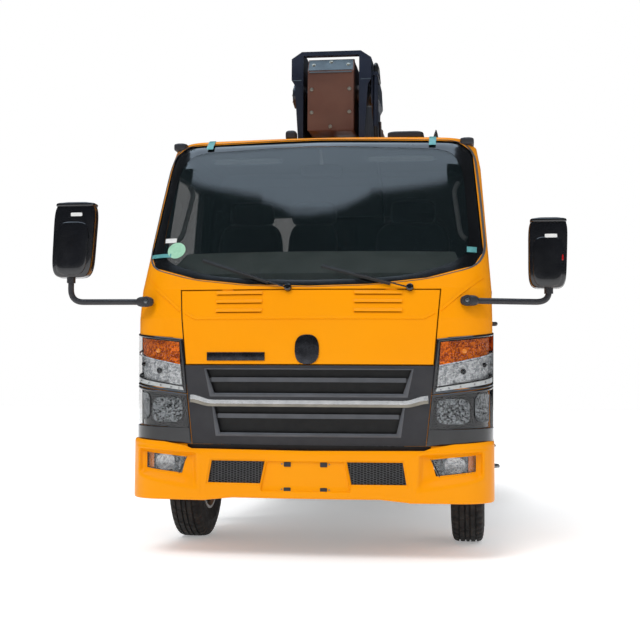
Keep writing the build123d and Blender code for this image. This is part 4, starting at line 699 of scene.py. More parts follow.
class TRUCK_OT_stage(bpy.types.Operator):
    """Camera at the photograph's angle, pale floor, soft lamps and a plain bright surround."""
    bl_idname = "truck.stage"
    bl_label = "Stage"

    def execute(self, context):
        own = context.scene.truck_looks
        camera = bpy.data.objects.new("camera", bpy.data.cameras.new("camera"))
        context.scene.collection.objects.link(camera)
        yaw, pitch, roll = own.camera_turn
        turn = (Matrix.Rotation(yaw, 4, "Z") @ Matrix.Rotation(math.pi / 2 + pitch, 4, "X")
                @ Matrix.Rotation(roll, 4, "Z"))
        camera.matrix_world = Matrix.Translation(own.camera_place) @ turn
        camera.data.lens = own.lens_mm
        camera.data.sensor_width = 36.0
        camera.data.clip_end = 300.0
        context.scene.camera = camera
        self.floor(own.floor_size / 2)
        self.lamps(context)
        self.surround(context)
        context.scene.view_settings.view_transform = "Standard"
        return {"FINISHED"}

    def floor(self, half):
        """Pale, barely rough studio floor that keeps the truck's shadow."""
        corners = np.array([(-half, -half, 0), (half, -half, 0), (half, half, 0), (-half, half, 0)], float)
        mesh = bpy.data.meshes.new("floor")
        mesh.from_pydata(corners.tolist(), [], [(0, 1, 2, 3)])
        floor = bpy.data.objects.new("floor", mesh)
        bpy.context.scene.collection.objects.link(floor)
        material, tree, shader = blank("Pale studio floor")
        shader.inputs["Emission Color"].default_value = (1.0, 1.0, 1.0, 1.0)
        shader.inputs["Emission Strength"].default_value = 0.30
        tone = mixed(tree, noise(tree, 900), linear("#FDFDFC"), linear("#FFFFFE"))
        tree.links.new(tone, shader.inputs["Base Color"])
        shader.inputs["Roughness"].default_value = 0.9
        shader.inputs["Specular IOR Level"].default_value = 0.1
        mesh.materials.append(material)

    def lamps(self, context):
        """Soft boxes: name, place, target, size, power."""
        table = [
            ("key", (-4.5, -11.0, 9.0), (0, -1.5, 1.2), 7.0, 90.0),
            ("fill", (8.0, -8.0, 5.0), (0, -1.5, 1.2), 8.0, 50.0),
            ("back", (-5.0, 9.0, 8.0), (0, 1.0, 1.5), 7.0, 150.0),
            ("over", (0.5, -6.5, 11.5), (0.0, -2.6, 1.9), 5.0, 90.0),
            ("side", (10.0, 4.0, 6.0), (0, 0.5, 1.2), 7.0, 90.0),
        ]
        for name, place, target, size, power in table:
            lamp = bpy.data.lights.new(name, "AREA")
            lamp.size = size
            lamp.energy = power
            holder = bpy.data.objects.new(name, lamp)
            aim = (Vector(place) - Vector(target)).to_track_quat("Z", "Y").to_matrix().to_4x4()
            holder.matrix_world = Matrix.Translation(place) @ aim
            holder.visible_glossy = False
            context.scene.collection.objects.link(holder)
        sun = bpy.data.lights.new("overcast sun", "SUN")
        sun.energy = 1.15
        sun.angle = math.radians(24)
        holder = bpy.data.objects.new("overcast sun", sun)
        holder.rotation_euler = (math.radians(38), math.radians(-14), 0)
        holder.visible_glossy = False
        context.scene.collection.objects.link(holder)

    def surround(self, context):
        """White for the camera and through glass; gloss sees a dark low surround under a bright overcast sky.

        A tilt to the side levels the sky's lower edge across the bowed screen, and clouds make it uneven."""
        world = bpy.data.worlds.new("surround")
        context.scene.world = world
        world.use_nodes = True
        tree = world.node_tree
        tree.nodes.clear()
        path = add(tree, "LightPath")
        seen = add(tree, "Math", {0: path.outputs["Is Camera Ray"], 1: path.outputs["Is Transmission Ray"]},
                   operation="MAXIMUM").outputs[0]
        glossy = path.outputs["Is Glossy Ray"]
        where = add(tree, "SeparateXYZ", {"Vector": add(tree, "TexCoord").outputs["Generated"]})
        height = where.outputs["Z"]
        clouds = add(tree, "TexNoise", {"Vector": add(tree, "TexCoord").outputs["Generated"], "Scale": 5.0,
                                        "Detail": 2.0}).outputs["Fac"]
        for value, share in ((where.outputs["X"], SKY_TILT), (clouds, CLOUD_SHARE)):
            height = add(tree, "Math", {0: value, 1: share, 2: height}, operation="MULTIPLY_ADD").outputs[0]
        sky = ranged(tree, height, *SKY_EDGE)
        gloss_tone = mixed(tree, sky, linear("#34383C"), (1.75, 2.15, 2.60, 1.0))
        lit = mixed(tree, glossy, linear("#C4C5C8"), gloss_tone)
        tone = mixed(tree, seen, lit, (1.0, 1.0, 1.0, 1.0))
        shader = add(tree, "Background", {"Color": tone, "Strength": 1.0})
        add(tree, "OutputWorld", {"Surface": shader.outputs["Background"]})


class TRUCK_OT_finishes(bpy.types.Operator):
    """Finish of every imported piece, by the record's material slot."""
    bl_idname = "truck.finishes"
    bl_label = "Finishes"

    def execute(self, context):
        for row in frame["record"]["subparts"]:
            mesh = NODES[row["node"]].data
            mesh.materials.clear()
            mesh.materials.append(looks(row["material_slot"]))
            mesh.polygons.foreach_set("material_index", self.inner_faces(row["node"], mesh))
        return {"FINISHED"}

    def inner_faces(self, node, mesh):
        """Material index of each face: 1, the lining, where the face looks at the middle of the cab."""
        count = len(mesh.polygons)
        if node not in ("cab_shell", "door_left", "door_right"):
            return [0] * count
        lining = shade("Moulded cab lining", "#4A4C4E", "#404244", 120, (0.6, 0.72), ("cells", 3, 0.08))
        mesh.materials.append(lining)
        centre, normal = np.empty(3 * count), np.empty(3 * count)
        mesh.polygons.foreach_get("center", centre)
        mesh.polygons.foreach_get("normal", normal)
        centre, normal = centre.reshape(-1, 3), normal.reshape(-1, 3)
        facing_in = ((centre - CAB_MIDDLE) * normal).sum(-1) < 0
        below_skin = np.abs(centre[:, 0]) < cab_row(centre[:, 2])[0] - LINING_DEPTH
        return (facing_in & below_skin & (centre[:, 2] > LINING_LOW_Z)).astype(int)


# Corner quadrilaterals on the cab's skin, right side, as (w, z): top inner, top outer, low outer, low inner
UPPER_BEZEL = [(0.6955, 1.186), (1.166, 1.234), (1.166, 0.948), (0.667, 0.886)]
UPPER_WINDOW = [(0.712, 1.172), (1.153, 1.219), (1.153, 0.960), (0.683, 0.900)]
LOWER_BEZEL = [(0.667, 0.884), (1.166, 0.946), (1.166, 0.628), (0.6385, 0.614)]
LOWER_WINDOW = [(0.678, 0.872), (1.153, 0.930), (1.153, 0.716), (0.660, 0.700)]
AMBER_PART = [(0.716, 1.168), (1.149, 1.214), (1.149, 1.136), (0.709, 1.046)]
WHITE_PART = [(0.708, 1.036), (1.149, 1.124), (1.149, 1.004), (0.697, 0.930)]
STRIP_PART = [(0.696, 0.924), (1.149, 0.996), (1.149, 0.968), (0.688, 0.904)]


def sunk(flat):
    """Depth of the lamp's inside: on the skin beside the flap, then down into the pocket."""
    return 0.021 * smooth(flat[..., 0], 0.765, 0.800) * smooth(1.150 - flat[..., 0], 0.0, 0.02)


def ribbed(flat):
    """The lamp's inside with upright ribs at its inner end."""
    ribs = 0.0035 * np.abs(np.sin(flat[..., 0] * math.pi / 0.011)) * (1 - smooth(flat[..., 0], 0.79, 0.80))
    return sunk(flat) - ribs


def bowl(w, z, depth, rim, skin=cab_skin, power=4.0):
    """Reflector: a superellipse whose depth falls off as one less the radius squared, with its rim."""
    radius = np.linspace(0.02, 1, 12)[:, None]
    angle = np.linspace(0, 2 * math.pi, 48, endpoint=False)[None, :]
    cosine, sine = np.cos(angle), np.sin(angle)
    across = np.sign(cosine) * np.abs(cosine) ** (2 / power) * radius
    up = np.sign(sine) * np.abs(sine) ** (2 / power) * radius
    w = (w[0] + w[1]) / 2 + across * (w[1] - w[0]) / 2
    z = (z[0] + z[1]) / 2 + up * (z[1] - z[0]) / 2
    inset = rim + depth * (1 - radius ** 2) + 0 * angle
    return slab(skin(w, z, inset), skin(w, z, inset + 0.002), wrap=True)


def lens_like(name, colour, alpha, roughness=0.08):
    """Coloured transparent moulding."""
    if name not in PLAIN:
        material, tree, shader = blank(name)
        tone = add(tree, "RGB").outputs["Color"]
        tone.default_value = linear(colour)
        normal = bumped(tree, noise(tree, 9, 1.0), 0.5)
        dressed(tree, shader, tone, normal, {"Roughness": roughness, "Alpha": alpha, "Coat Weight": 0.8})
        PLAIN[name] = material
    return PLAIN[name]


def optics(name, *arguments):
    """A faceted lamp finish, made on its first use."""
    if name not in PLAIN:
        PLAIN[name] = faceted(name, *arguments)
    return PLAIN[name]


# Finishes that more than one group of pieces uses
def pipe_paint():
    """Black paint on steel hydraulic pipe: thin and slightly shiny, so each pipe keeps one light line."""
    return shade("Black painted steel pipe", "#1A1B1D", "#121315", 40, (0.32, 0.46))


def painted_shade_black():
    """Near-black plate put behind openings and in recesses: painted shade."""
    return shade("Painted shade black", "#060607", "#0A0A0B", 120, (0.5, 0.6))


def white_label():
    """White paper label without words."""
    return shade("Blank white label", "#DADAD8", "#CFCFCD", 30, (0.5, 0.6))


def orange_moulding():
    """Orange plastic of direction and side lamps."""
    return lens_like("Orange lamp moulding", "#E8871E", 1.0)


def red_reflector():
    """Red prism reflector."""
    return lens_like("Red reflector", "#A50F12", 1.0, 0.15)


def ball(centre, radius):
    """Sphere."""
    return pillow(centre, (radius, radius, radius), 2.0, 12, 20)


def grown(path, section, grow):
    """Section carried along a path and grown by a share at each point."""
    points, faces = carried(path, section)
    rings = points.reshape(len(path), -1, 3)
    rings = path[:, None] + (rings - path[:, None]) * grow[:, None, None]
    return outward(rings.reshape(-1, 3), faces)


class TRUCK_OT_lamps(bpy.types.Operator):
    """Headlamps, fog lamps, marker, roof and tail lamps."""
    bl_idname = "truck.lamps"
    bl_label = "Lamps"

    def execute(self, context):
        amber = optics("Amber lamp optics", "#8E3603", "#EE7408", 8, 0.15, 0.25, 2.0)
        chrome = optics("Chromed lamp optics", "#A4A8AB", "#ECEEEF", 9, 0.55, 0.18, 1.0)
        dusk = optics("Smoked lamp optics", "#1C1F22", "#A6ABAE", 7, 0.6, 0.18, 1.2)
        strip = shade("Frosted white diffuser", "#D5D8D8", "#C6CACA", 30, (0.3, 0.4), ("noise", 6, 0.05))
        body = looks("gloss_black")
        windows = (UPPER_WINDOW, LOWER_WINDOW)
        frames = [plate(window, -0.0014, 0.0012, 12, 60, hollow=sunk) for window in windows]
        for bezel, window in zip((UPPER_BEZEL, LOWER_BEZEL), windows):
            frames.append(hoop(bezel, window, -0.007, 0.002))
        frames.append(plate([(0.690, 0.931), (1.149, 1.005), (1.149, 0.998), (0.692, 0.926)], -0.004, 0.004))
        frames.append(plate([(0.655, 0.699), (1.160, 0.713), (1.160, 0.640), (0.647, 0.622)], -0.0095, 0.006))
        ambers = [plate(AMBER_PART, -0.0030, 0.0014, 24, 120, hollow=ribbed)]
        whites = [plate(WHITE_PART, -0.0030, 0.0014, 20, 60, hollow=sunk)]
        lip = [plate([(0.709, 1.046), (1.149, 1.136), (1.149, 1.126), (0.708, 1.038)], -0.0045, 0.003)]
        bulbs = [ball(cab_skin(0.842, 1.122, 0.016), 0.014)]
        dots = [ball(cab_skin(0.835, 1.012, 0.014), 0.016), ball(cab_skin(0.98, 1.05, 0.014), 0.013)]
        dots.append(ball(cab_skin(0.835, 0.795, 0.016), 0.017))
        ring_places = ((0.715, 0.915, 0.08), (0.76, 0.923, 0.08), (0.82, 0.932, 0.2), (0.90, 0.945, 0.5),
                       (0.98, 0.957, 0.9))
        rings = [turned([(0, 0.0), (0, 0.006), (0.003, 0.0055), (0.003, 0)], cab_skin(w, z, -0.002),
                        (math.sin(lean), -math.cos(lean), 0), 12) for w, z, lean in ring_places]
        bowls = [bowl((0.905, 1.10), (0.742, 0.895), 0.004, 0.014)]
        surround = [bowl((0.694, 0.872), (0.730, 0.866), 0.0, -0.0034)]
        covers = [plate(window, -0.0062, 0.0018, 12, 40) for window in windows]
        bulb_glass = lens_like("Orange bulb glass", "#FF9A2E", 1.0)
        groups = [(body, both(frames)), (amber, both(ambers)), (chrome, both(whites + lip)),
                  (dusk, both(bowls + surround)), (strip, both([plate(STRIP_PART, -0.002, 0.003)])),
                  (looks("chrome"), both(rings)), (bulb_glass, both(bulbs)), (body, both(dots)),
                  (looks("lamp_lens"), both(covers))]
        build("headlamps", groups, replaces=("lamps",))
        self.fog(chrome, dusk)
        self.corners()
        self.tail()
        return {"FINISHED"}

    def fog(self, chrome, dusk):
        """Fog lamps: tray, round reflector, ribbed lens and black rim."""
        hole = [(0.668, 0.543), (0.903, 0.567), (0.903, 0.481), (0.714, 0.455)]
        rim = [(0.655, 0.553), (0.916, 0.580), (0.916, 0.470), (0.706, 0.444)]
        tip = [(0.862, 0.560), (0.900, 0.564), (0.900, 0.484), (0.862, 0.479)]
        lens, outer, end = (unrolled_corners(corners, bumper_row) for corners in (hole, rim, tip))

        def wavy(flat):
            return 0.0012 * np.sin(flat[..., 0] * 2 * math.pi / 0.009)

        tray = plate(lens, 0.062, 0.003, skin=bumper_skin)
        glass = plate(lens, 0.0400, 0.003, 12, 140, bumper_skin, wavy)
        amber = plate(end, 0.056, 0.003, skin=bumper_skin)
        cup = bowl((0.735, 0.845), (0.470, 0.556), 0.010, 0.048, bumper_skin, 2.6)
        groups = [(looks("gloss_black"), both([hoop(outer, lens, 0.0345, 0.066, 12, bumper_skin)])),
                  (dusk, both([tray])), (chrome, both([cup])), (orange_moulding(), both([amber])),
                  (lens_like("Clear ribbed lens", "#7E8385", 0.16), both([glass]))]
        build("fog_lamps", groups)

    def corners(self):
        """Marker lamps at the roof's corners, roof box, aerial fin and a small roof fitting."""
        smoked = lens_like("Smoked marker lens", "#2A1F16", 0.85)
        base = looks("black_plastic")
        markers = [pillow((0.849, -2.392, 2.356), (0.033, 0.046, 0.021), 3.4)]
        feet = [pillow((0.848, -2.383, 2.352), (0.040, 0.056, 0.022), 5.0)]
        roof = [pillow((0.483, -2.225, 2.4265), (0.107, 0.075, 0.0205), 6.0)]
        roof_lid = [pillow((0.483, -2.225, 2.4440), (0.095, 0.062, 0.0060), 5.0)]
        fin_path = np.linspace((0.662, -2.36, 2.402), (0.662, -2.22, 2.402), 14)
        grow = np.linspace(0.15, 1, 14)[:, None] ** 0.8
        section = np.array([(0.016, 0), (0.010, 0.6), (0.0025, 1.0), (-0.0025, 1.0), (-0.010, 0.6),
                            (-0.016, 0)])
        wide, high = section[:, 0] * grow ** 0.5, section[:, 1] * 0.064 * grow
        fin_rings = fin_path[:, None] + np.stack([wide, 0 * wide, high], -1)
        size = len(section)
        caps = [np.arange(size)[None, ::-1], np.arange(13 * size, 14 * size)[None, :]]
        fin = outward(fin_rings.reshape(-1, 3), [grid(14, size, True), *caps])
        knob = [pillow((-0.198, -2.30, 2.430), (0.033, 0.045, 0.030), 3.5)]
        groups = [(smoked, both(markers)), (base, both(feet) + roof + [fin] + knob),
                  (looks("gloss_black"), roof_lid)]
        build("roof_lamps", groups)

    def tail(self):
        """Tail lamps in three colours, on their plates."""
        parts = ((0.609, 0.049, lens_like("Red lamp moulding", "#B01010", 1.0, 0.2)),
                 (0.710, 0.048, orange_moulding()),
                 (0.811, 0.049, lens_like("White lamp moulding", "#D9D9D6", 1.0, 0.2)))
        groups = [(looks("black_plastic"), both([cuboid((0.560, 2.392, 0.465), (0.860, 2.404, 0.548))]))]
        for x, half, moulding in parts:
            groups.append((moulding, both([pillow((x, 2.408, 0.5065), (half, 0.016, 0.034), 7.0)])))
        build("tail_lamps", groups)


# The bumper's cage, right half: upper and lower x, the four heights of its feature, and the insets there
BUMPER_COLUMNS = [
    # x up, x low, top edge, hole top, hole low, low edge, inset at edges, inset at hole
    (0.000, 0.000, 0.531, 0.522, 0.375, 0.366, 0.000, 0.012),
    (0.100, 0.112, 0.531, 0.522, 0.375, 0.366, 0.000, 0.012),
    (0.198, 0.237, 0.531, 0.522, 0.375, 0.366, 0.000, 0.012),
    (0.209, 0.247, 0.533, 0.524, 0.388, 0.378, -0.001, -0.001),
    (0.217, 0.254, 0.537, 0.527, 0.409, 0.398, 0.000, 0.008),
    (0.360, 0.398, 0.537, 0.527, 0.409, 0.398, 0.000, 0.008),
    (0.513, 0.543, 0.537, 0.527, 0.409, 0.398, 0.000, 0.008),
    (0.526, 0.556, 0.540, 0.530, 0.404, 0.394, -0.001, -0.001),
    (0.560, 0.572, 0.550, 0.540, 0.398, 0.388, 0.000, 0.000),
    (0.596, 0.588, 0.566, 0.552, 0.400, 0.366, -0.003, -0.002),
    (0.630, 0.628, 0.572, 0.554, 0.440, 0.372, 0.000, 0.026),
    (0.666, 0.712, 0.576, 0.543, 0.455, 0.384, -0.001, 0.036),
    (0.785, 0.805, 0.583, 0.555, 0.467, 0.402, -0.002, 0.036),
    (0.903, 0.903, 0.590, 0.567, 0.481, 0.426, -0.003, 0.036),
    (0.922, 0.922, 0.591, 0.569, 0.484, 0.432, -0.003, 0.024),
    (0.944, 0.944, 0.592, 0.570, 0.486, 0.440, -0.003, -0.003),
]
BUMPER_SIDE_W = (1.000, 1.060, 1.120, 1.300, 1.550)
BUMPER_HOLES = ((4, 6), (11, 13))
STEPS = 6
HEXAGON_FLATNESS = 0.62


def bumper_cage():
    """Cage rows of (w, z, inset) for the right half, from the top's rolled edge down to the low one."""
    table = np.array(BUMPER_COLUMNS)
    side = slice(len(table), None)
    table = np.concatenate([table, np.tile(table[-1], (len(BUMPER_SIDE_W), 1))])
    x = (table[:, 0] + table[:, 1]) / 2
    top = np.interp(x, [0, 0.640, 0.750, 0.980], [0.585, 0.590, 0.622, 0.640])
    low = np.interp(x, [0, 0.490, 0.535], [0.330, 0.330, 0.312])
    top[side] = 0.640
    level = [top - 0.004, top, top - 0.005, top - 0.020, table[:, 2] + 0.012, table[:, 2], table[:, 3],
             table[:, 4], table[:, 5], table[:, 5] - 0.020, low + 0.016, low + 0.004, low, low + 0.004]
    plain, edge, hole = 0 * x, table[:, 6], table[:, 7]
    inset = [plain + 0.024, plain + 0.008, plain + 0.002, plain, plain, edge, hole, hole, edge, edge * 0.4,
             plain, plain + 0.002, plain + 0.009, plain + 0.028]
    level, inset = np.stack(level), np.stack(inset)
    share = np.clip((0.55 - level) / 0.18, 0, 1)
    seen = (1 - share) * table[:, 0] + share * table[:, 1]
    w = unrolled(seen, level, bumper_row)
    w[:, side] = BUMPER_SIDE_W
    inset[4:10, side] = 0
    return np.stack([w, level, inset], -1)


def refined(cage, steps):
    """Each cage cell divided evenly; positions run straight, insets ease in and out at the cage's lines."""
    def spread(array, axis):
        count = array.shape[axis]
        at = np.linspace(0, count - 1, (count - 1) * steps + 1)
        base = np.minimum(at.astype(int), count - 2)
        t = at - base
        first = np.take(array, base, axis)
        second = np.take(array, base + 1, axis)
        shape = [1, 1, 1]
        shape[axis] = len(at)
        plain = t.reshape(shape)
        eased = plain * plain * (3 - 2 * plain)
        share = np.concatenate([np.broadcast_to(plain, first.shape)[..., :2],
                                np.broadcast_to(eased, first.shape)[..., 2:]], -1)
        return first * (1 - share) + second * share

    return spread(spread(cage, 0), 1)


def hexagons(outline, cell, wall, inset, thick, skin, row):
    """Expanded mesh: flattened hexagonal rings, in staggered rows, on the skin inside an (x, z) outline."""
    corners = np.asarray(outline, float)
    low, high = corners.min(0), corners.max(0)
    step_x, step_z = cell * 1.5, cell * math.sqrt(3) * HEXAGON_FLATNESS
    i, j = np.meshgrid(np.arange(int((high[0] - low[0]) / step_x) + 1),
                       np.arange(int((high[1] - low[1]) / step_z) + 1))
    x = low[0] + i.ravel() * step_x
    z = low[1] + (j.ravel() + 0.5 * (i.ravel() % 2)) * step_z
    (tl, tr, br, bl) = corners
    share = (tl[1] - z) / (tl[1] - bl[1])
    inside = (share > -0.03) & (share < 1.03)
    inside &= x > tl[0] + share * (bl[0] - tl[0]) - cell * 0.4
    inside &= x < tr[0] + share * (br[0] - tr[0]) + cell * 0.4
    x, z = x[inside], z[inside]
    angle = np.arange(6) * math.pi / 3
    unit = np.stack([np.cos(angle), HEXAGON_FLATNESS * np.sin(angle)], -1)
    loops = np.stack([unit * cell, unit * (cell - wall)])
    flat = np.stack([x, z], -1)[:, None, None] + loops[None]
    w = unrolled(flat[..., 0], flat[..., 1], row)
    both_faces = np.stack([skin(w, flat[..., 1], inset), skin(w, flat[..., 1], inset + thick)], 1)
    k = np.arange(6)
    n = (k + 1) % 6
    front, back = np.stack([k, n, n + 6, k + 6], -1), np.stack([k + 12, k + 18, n + 18, n + 12], -1)
    outer, inner = np.stack([n, k, k + 12, n + 12], -1), np.stack([k + 6, n + 6, n + 18, k + 18], -1)
    quads = np.concatenate([front, back, outer, inner])
    faces = quads[None] + 24 * np.arange(len(x))[:, None, None]
    return outward(both_faces.reshape(-1, 3), [faces.reshape(-1, 4)])


class TRUCK_OT_bumper(bpy.types.Operator):
    """Bumper skin with soft pressings, expanded mesh with painted shade behind it and in its openings, plate
    clips and mounts.
    """
    bl_idname = "truck.bumper"
    bl_label = "Bumper"

    def execute(self, context):
        half = refined(bumper_cage(), STEPS)
        left = half[:, :0:-1] * np.array([-1.0, 1.0, 1.0])
        cage = np.concatenate([left, half], 1)
        columns = cage.shape[1]
        middle = (columns - 1) // 2
        keep = np.ones((cage.shape[0] - 1, columns - 1), bool)
        for first, last in BUMPER_HOLES:
            for start, end in ((middle + first * STEPS, middle + last * STEPS),
                               (middle - last * STEPS, middle - first * STEPS)):
                keep[6 * STEPS:7 * STEPS, start:end] = False
        front = bumper_skin(cage[..., 0], cage[..., 1], cage[..., 2])
        back = bumper_skin(cage[..., 0], cage[..., 1], cage[..., 2] + 0.0035)
        build("bumper_skin", [(looks("cab_yellow"), [slab(front, back, keep=keep)])],
              replaces=("bumper",), sharp=50)
        outline = [(0.214, 0.530), (0.516, 0.530), (0.547, 0.406), (0.250, 0.406)]
        lamp_hole = [(0.663, 0.546), (0.906, 0.571), (0.906, 0.477), (0.711, 0.451)]
        mesh = hexagons(outline, 0.0115, 0.0030, 0.015, 0.004, bumper_skin, bumper_row)
        # The tray behind the mesh and the walls round the mesh's and the fog lamp's openings are near-black
        # painted shade.
        tray = skin_plate(outline, 0.040, 0.043, 6, 20, bumper_skin, bumper_row)
        painted_shade_returns = []
        for quad, near, far in ((outline, 0.012, 0.042), (lamp_hole, 0.038, 0.066)):
            loop, centre = walked(quad, 10), np.mean(quad, 0)
            wider = centre + (loop - centre) * 1.02
            wall, outer_wall = (bumper_skin(unrolled(way[:, 0], way[:, 1], bumper_row), way[:, 1],
                                            np.array([[near], [far]])) for way in (loop, wider))
            painted_shade_returns.append(slab(wall, outer_wall, wrap=True))
        mounts = [cuboid((0.372, -2.960, 0.545), (0.428, -2.8653, 0.559))]
        net = shade("Painted expanded mesh", "#4A4B4D", "#3C3D3F", 20, (0.4, 0.5))
        build("bumper_mesh", [(net, both([mesh])), (painted_shade_black(), both([tray] + painted_shade_returns)),
                              (looks("black_plastic"), both(mounts))])
        clips, screws = [], []
        for x in (-0.098, 0.098):
            for z in (0.512, 0.377):
                y = float(bumper_skin(x, z, 0.012)[1])
                clips.append(pillow((x, y - 0.001, z), (0.019, 0.0045, 0.0125), 9.0, 10, 24))
                screws.append(turned([(0, 0), (0, 0.0042), (0.0015, 0.0035), (0.0015, 0)],
                                     (x + 0.030 * np.sign(x), y - 0.0002, z + 0.002), (0, -1, 0), 12))
        groups = [(looks("black_plastic"), clips), (looks("leg_steel"), screws)]
        build("plate_clips", groups)
        return {"FINISHED"}


class TRUCK_OT_grille(bpy.types.Operator):
    """Chromed strip, recess lips and slats in a lighter grey as painted highlight, painted shade in the
    recesses, creases, louvre blades, blank badge and blank name bar.
    """
    bl_idname = "truck.grille"
    bl_label = "Grille"

    def execute(self, context):
        x = np.linspace(-0.650, 0.650, 80)
        path = on_cab(x, 0.8375 + 0.024 * smooth(np.abs(x), 0.53, 0.65), -0.003)
        grow = 1.0 + 0.25 * smooth(np.abs(x), 0.50, 0.62)
        bright = grown(path, [(0.004, -0.004), (0.004, 0.016), (-0.003, 0.018), (-0.007, 0.012),
                              (-0.009, 0.004), (-0.008, -0.001)], grow)
        shelf = grown(path - UP * 0.010, [(0.004, -0.009), (0.004, 0.006), (-0.006, 0.006), (-0.005, -0.009)],
                      grow)
        dull = shade("Beige-grey moulding", "#8A857A", "#7A766C", 60, (0.4, 0.55))
        build("chrome_strip", [(looks("chrome"), [bright]), (dull, [shelf])])
        # Lips and slats are a lighter grey than the grille's black plastic: a painted highlight of their
        # top-lit edges.
        grey = shade("Grey lip with painted highlight", "#505257", "#46484C", 120, (0.32, 0.42), ("cells", 2, 0.05))
        rims, painted_shade_floors = [], []
        for low, top, half_low, half_top in ((0.892, 1.018, 0.515, 0.560), (0.678, 0.822, 0.480, 0.515)):
            quad = np.array([(-half_top, top), (half_top, top), (half_low, low), (-half_low, low)])
            wide = quad + np.array([(-0.014, 0.008), (0.014, 0.008), (0.026, -0.022), (-0.026, -0.022)])
            rims.append(skin_ring(walked(wide, 24), walked(quad, 24), -0.0045, 0.006, 5))
            # A near-black plate just in front of each recess's floor is painted shade.
            painted_shade_floors.append(skin_plate(quad, 0.0222, 0.0238, 6, 40))
        slats = []
        for level, half in ((0.962, 0.530), (0.766, 0.492)):
            slats.append(carried(on_cab(np.linspace(-half, half, 60), level, 0.010),
                                 [(-0.006, -0.008), (-0.009, 0.002), (-0.005, 0.012), (0.008, 0.014),
                                  (0.008, -0.010)]))
        # The near-black strip along the grille's lower edge is painted shade too.
        painted_shade_apron = skin_plate([(-0.664, 0.6125), (0.664, 0.6125), (0.660, 0.556), (-0.660, 0.556)],
                           -0.003, -0.0005, 4, 60)
        build("grille_lips", [(grey, rims + slats), (painted_shade_black(), painted_shade_floors + [painted_shade_apron])],
              sharp=45)
        self.crease()
        self.marks()
        return {"FINISHED"}

    def crease(self):
        """Pressed lines across the flap and on to the cab's corner, and the hooded blades of the louvres."""
        wedge = [(-0.0015, -0.006), (0.0050, -0.002), (-0.0015, 0.012)]
        x = np.linspace(-0.684, 0.684, 90)
        z = 1.296 + 0.545 * np.maximum(np.abs(x) - 0.628, 0)
        build("flap_crease", [(looks("cab_yellow"), [carried(on_cab(x, z), wedge)])],
              body="front_flap", sharp=20)
        x = np.linspace(0.716, 0.940, 30)
        z = np.interp(x, [0.716, 0.723, 0.940], [1.340, 1.346, 1.530])
        build("corner_crease", [(looks("cab_yellow"), both([carried(on_cab(x, z), wedge)]))],
              sharp=20)
        hood = [(-0.002, 0.017), (0.009, 0.001), (0.010, -0.002), (0.007, -0.003), (-0.002, 0.006)]
        blades = [carried(on_cab(np.linspace(0.250, 0.510, 24), level), hood) for level in LOUVRE_Z]
        build("louvre_blades", [(looks("cab_yellow"), both(blades))], body="front_flap",
              sharp=25)

    def marks(self):
        """Blank badge, a plain dark plate with a round outline; and a blank bar where a name would be."""
        vertex = float(cab_skin(0.0, 1.13, 0.0)[1])
        shield = pillow((0.0, vertex - 0.005, 1.128), (0.066, 0.007, 0.080), 2.6, 20, 48)
        bar = carried(on_cab(np.linspace(-0.556, -0.232, 40), 1.090), oblong(0.012, 0.046, 0.0045))
        dark = shade("Dark nickel plate", "#2B2C30", "#3C3D42", 40, (0.2, 0.32), settings={"Metallic": 0.8})
        build("blank_badge", [(dark, [shield, bar])])


SCREEN_OUT = [(0, 1.470), (0.330, 1.480), (0.642, 1.515), (0.893, 1.584), (0.948, 1.680), (0.920, 1.990),
              (0.884, 2.294), (0.792, 2.356), (0, 2.368)]
SCREEN_IN = [(0, 1.507), (0.300, 1.514), (0.560, 1.536), (0.806, 1.612), (0.868, 1.700), (0.846, 1.990),
             (0.818, 2.206), (0.738, 2.296), (0, 2.322)]
ARM_Z = 1.392
MIRROR_TABLE = [
    # side, middle y, inner and outer x, low and top z, tube x, foot x, shift of the top outwards
    (-1, -2.900, 1.209, 1.462, 1.527, 1.952, 1.343, 0.905, -0.022),
    (1, -2.760, 1.174, 1.396, 1.466, 1.852, 1.292, 0.857, 0.006),
]


def swept(path, radius, count=16):
    """Round tube along a path; its section's up is square to no axis, so a run along one can't spoil it."""
    return carried(path, ring(radius, count), (1.0, 1.0, 1.0))


def leaned(shape, low, high, shift, narrow=0.0):
    """Moves the top of a shape sideways by a shift and narrows it, in proportion to height."""
    points, faces = shape
    share = ((points[:, 2] - low) / (high - low))[:, None]
    centre = points.mean(0)
    moved = points + share * np.array([shift, 0, 0])
    moved[:, :2] = centre[:2] + (moved[:, :2] - centre[:2]) * (1 - narrow * (1 - share))
    return moved, faces


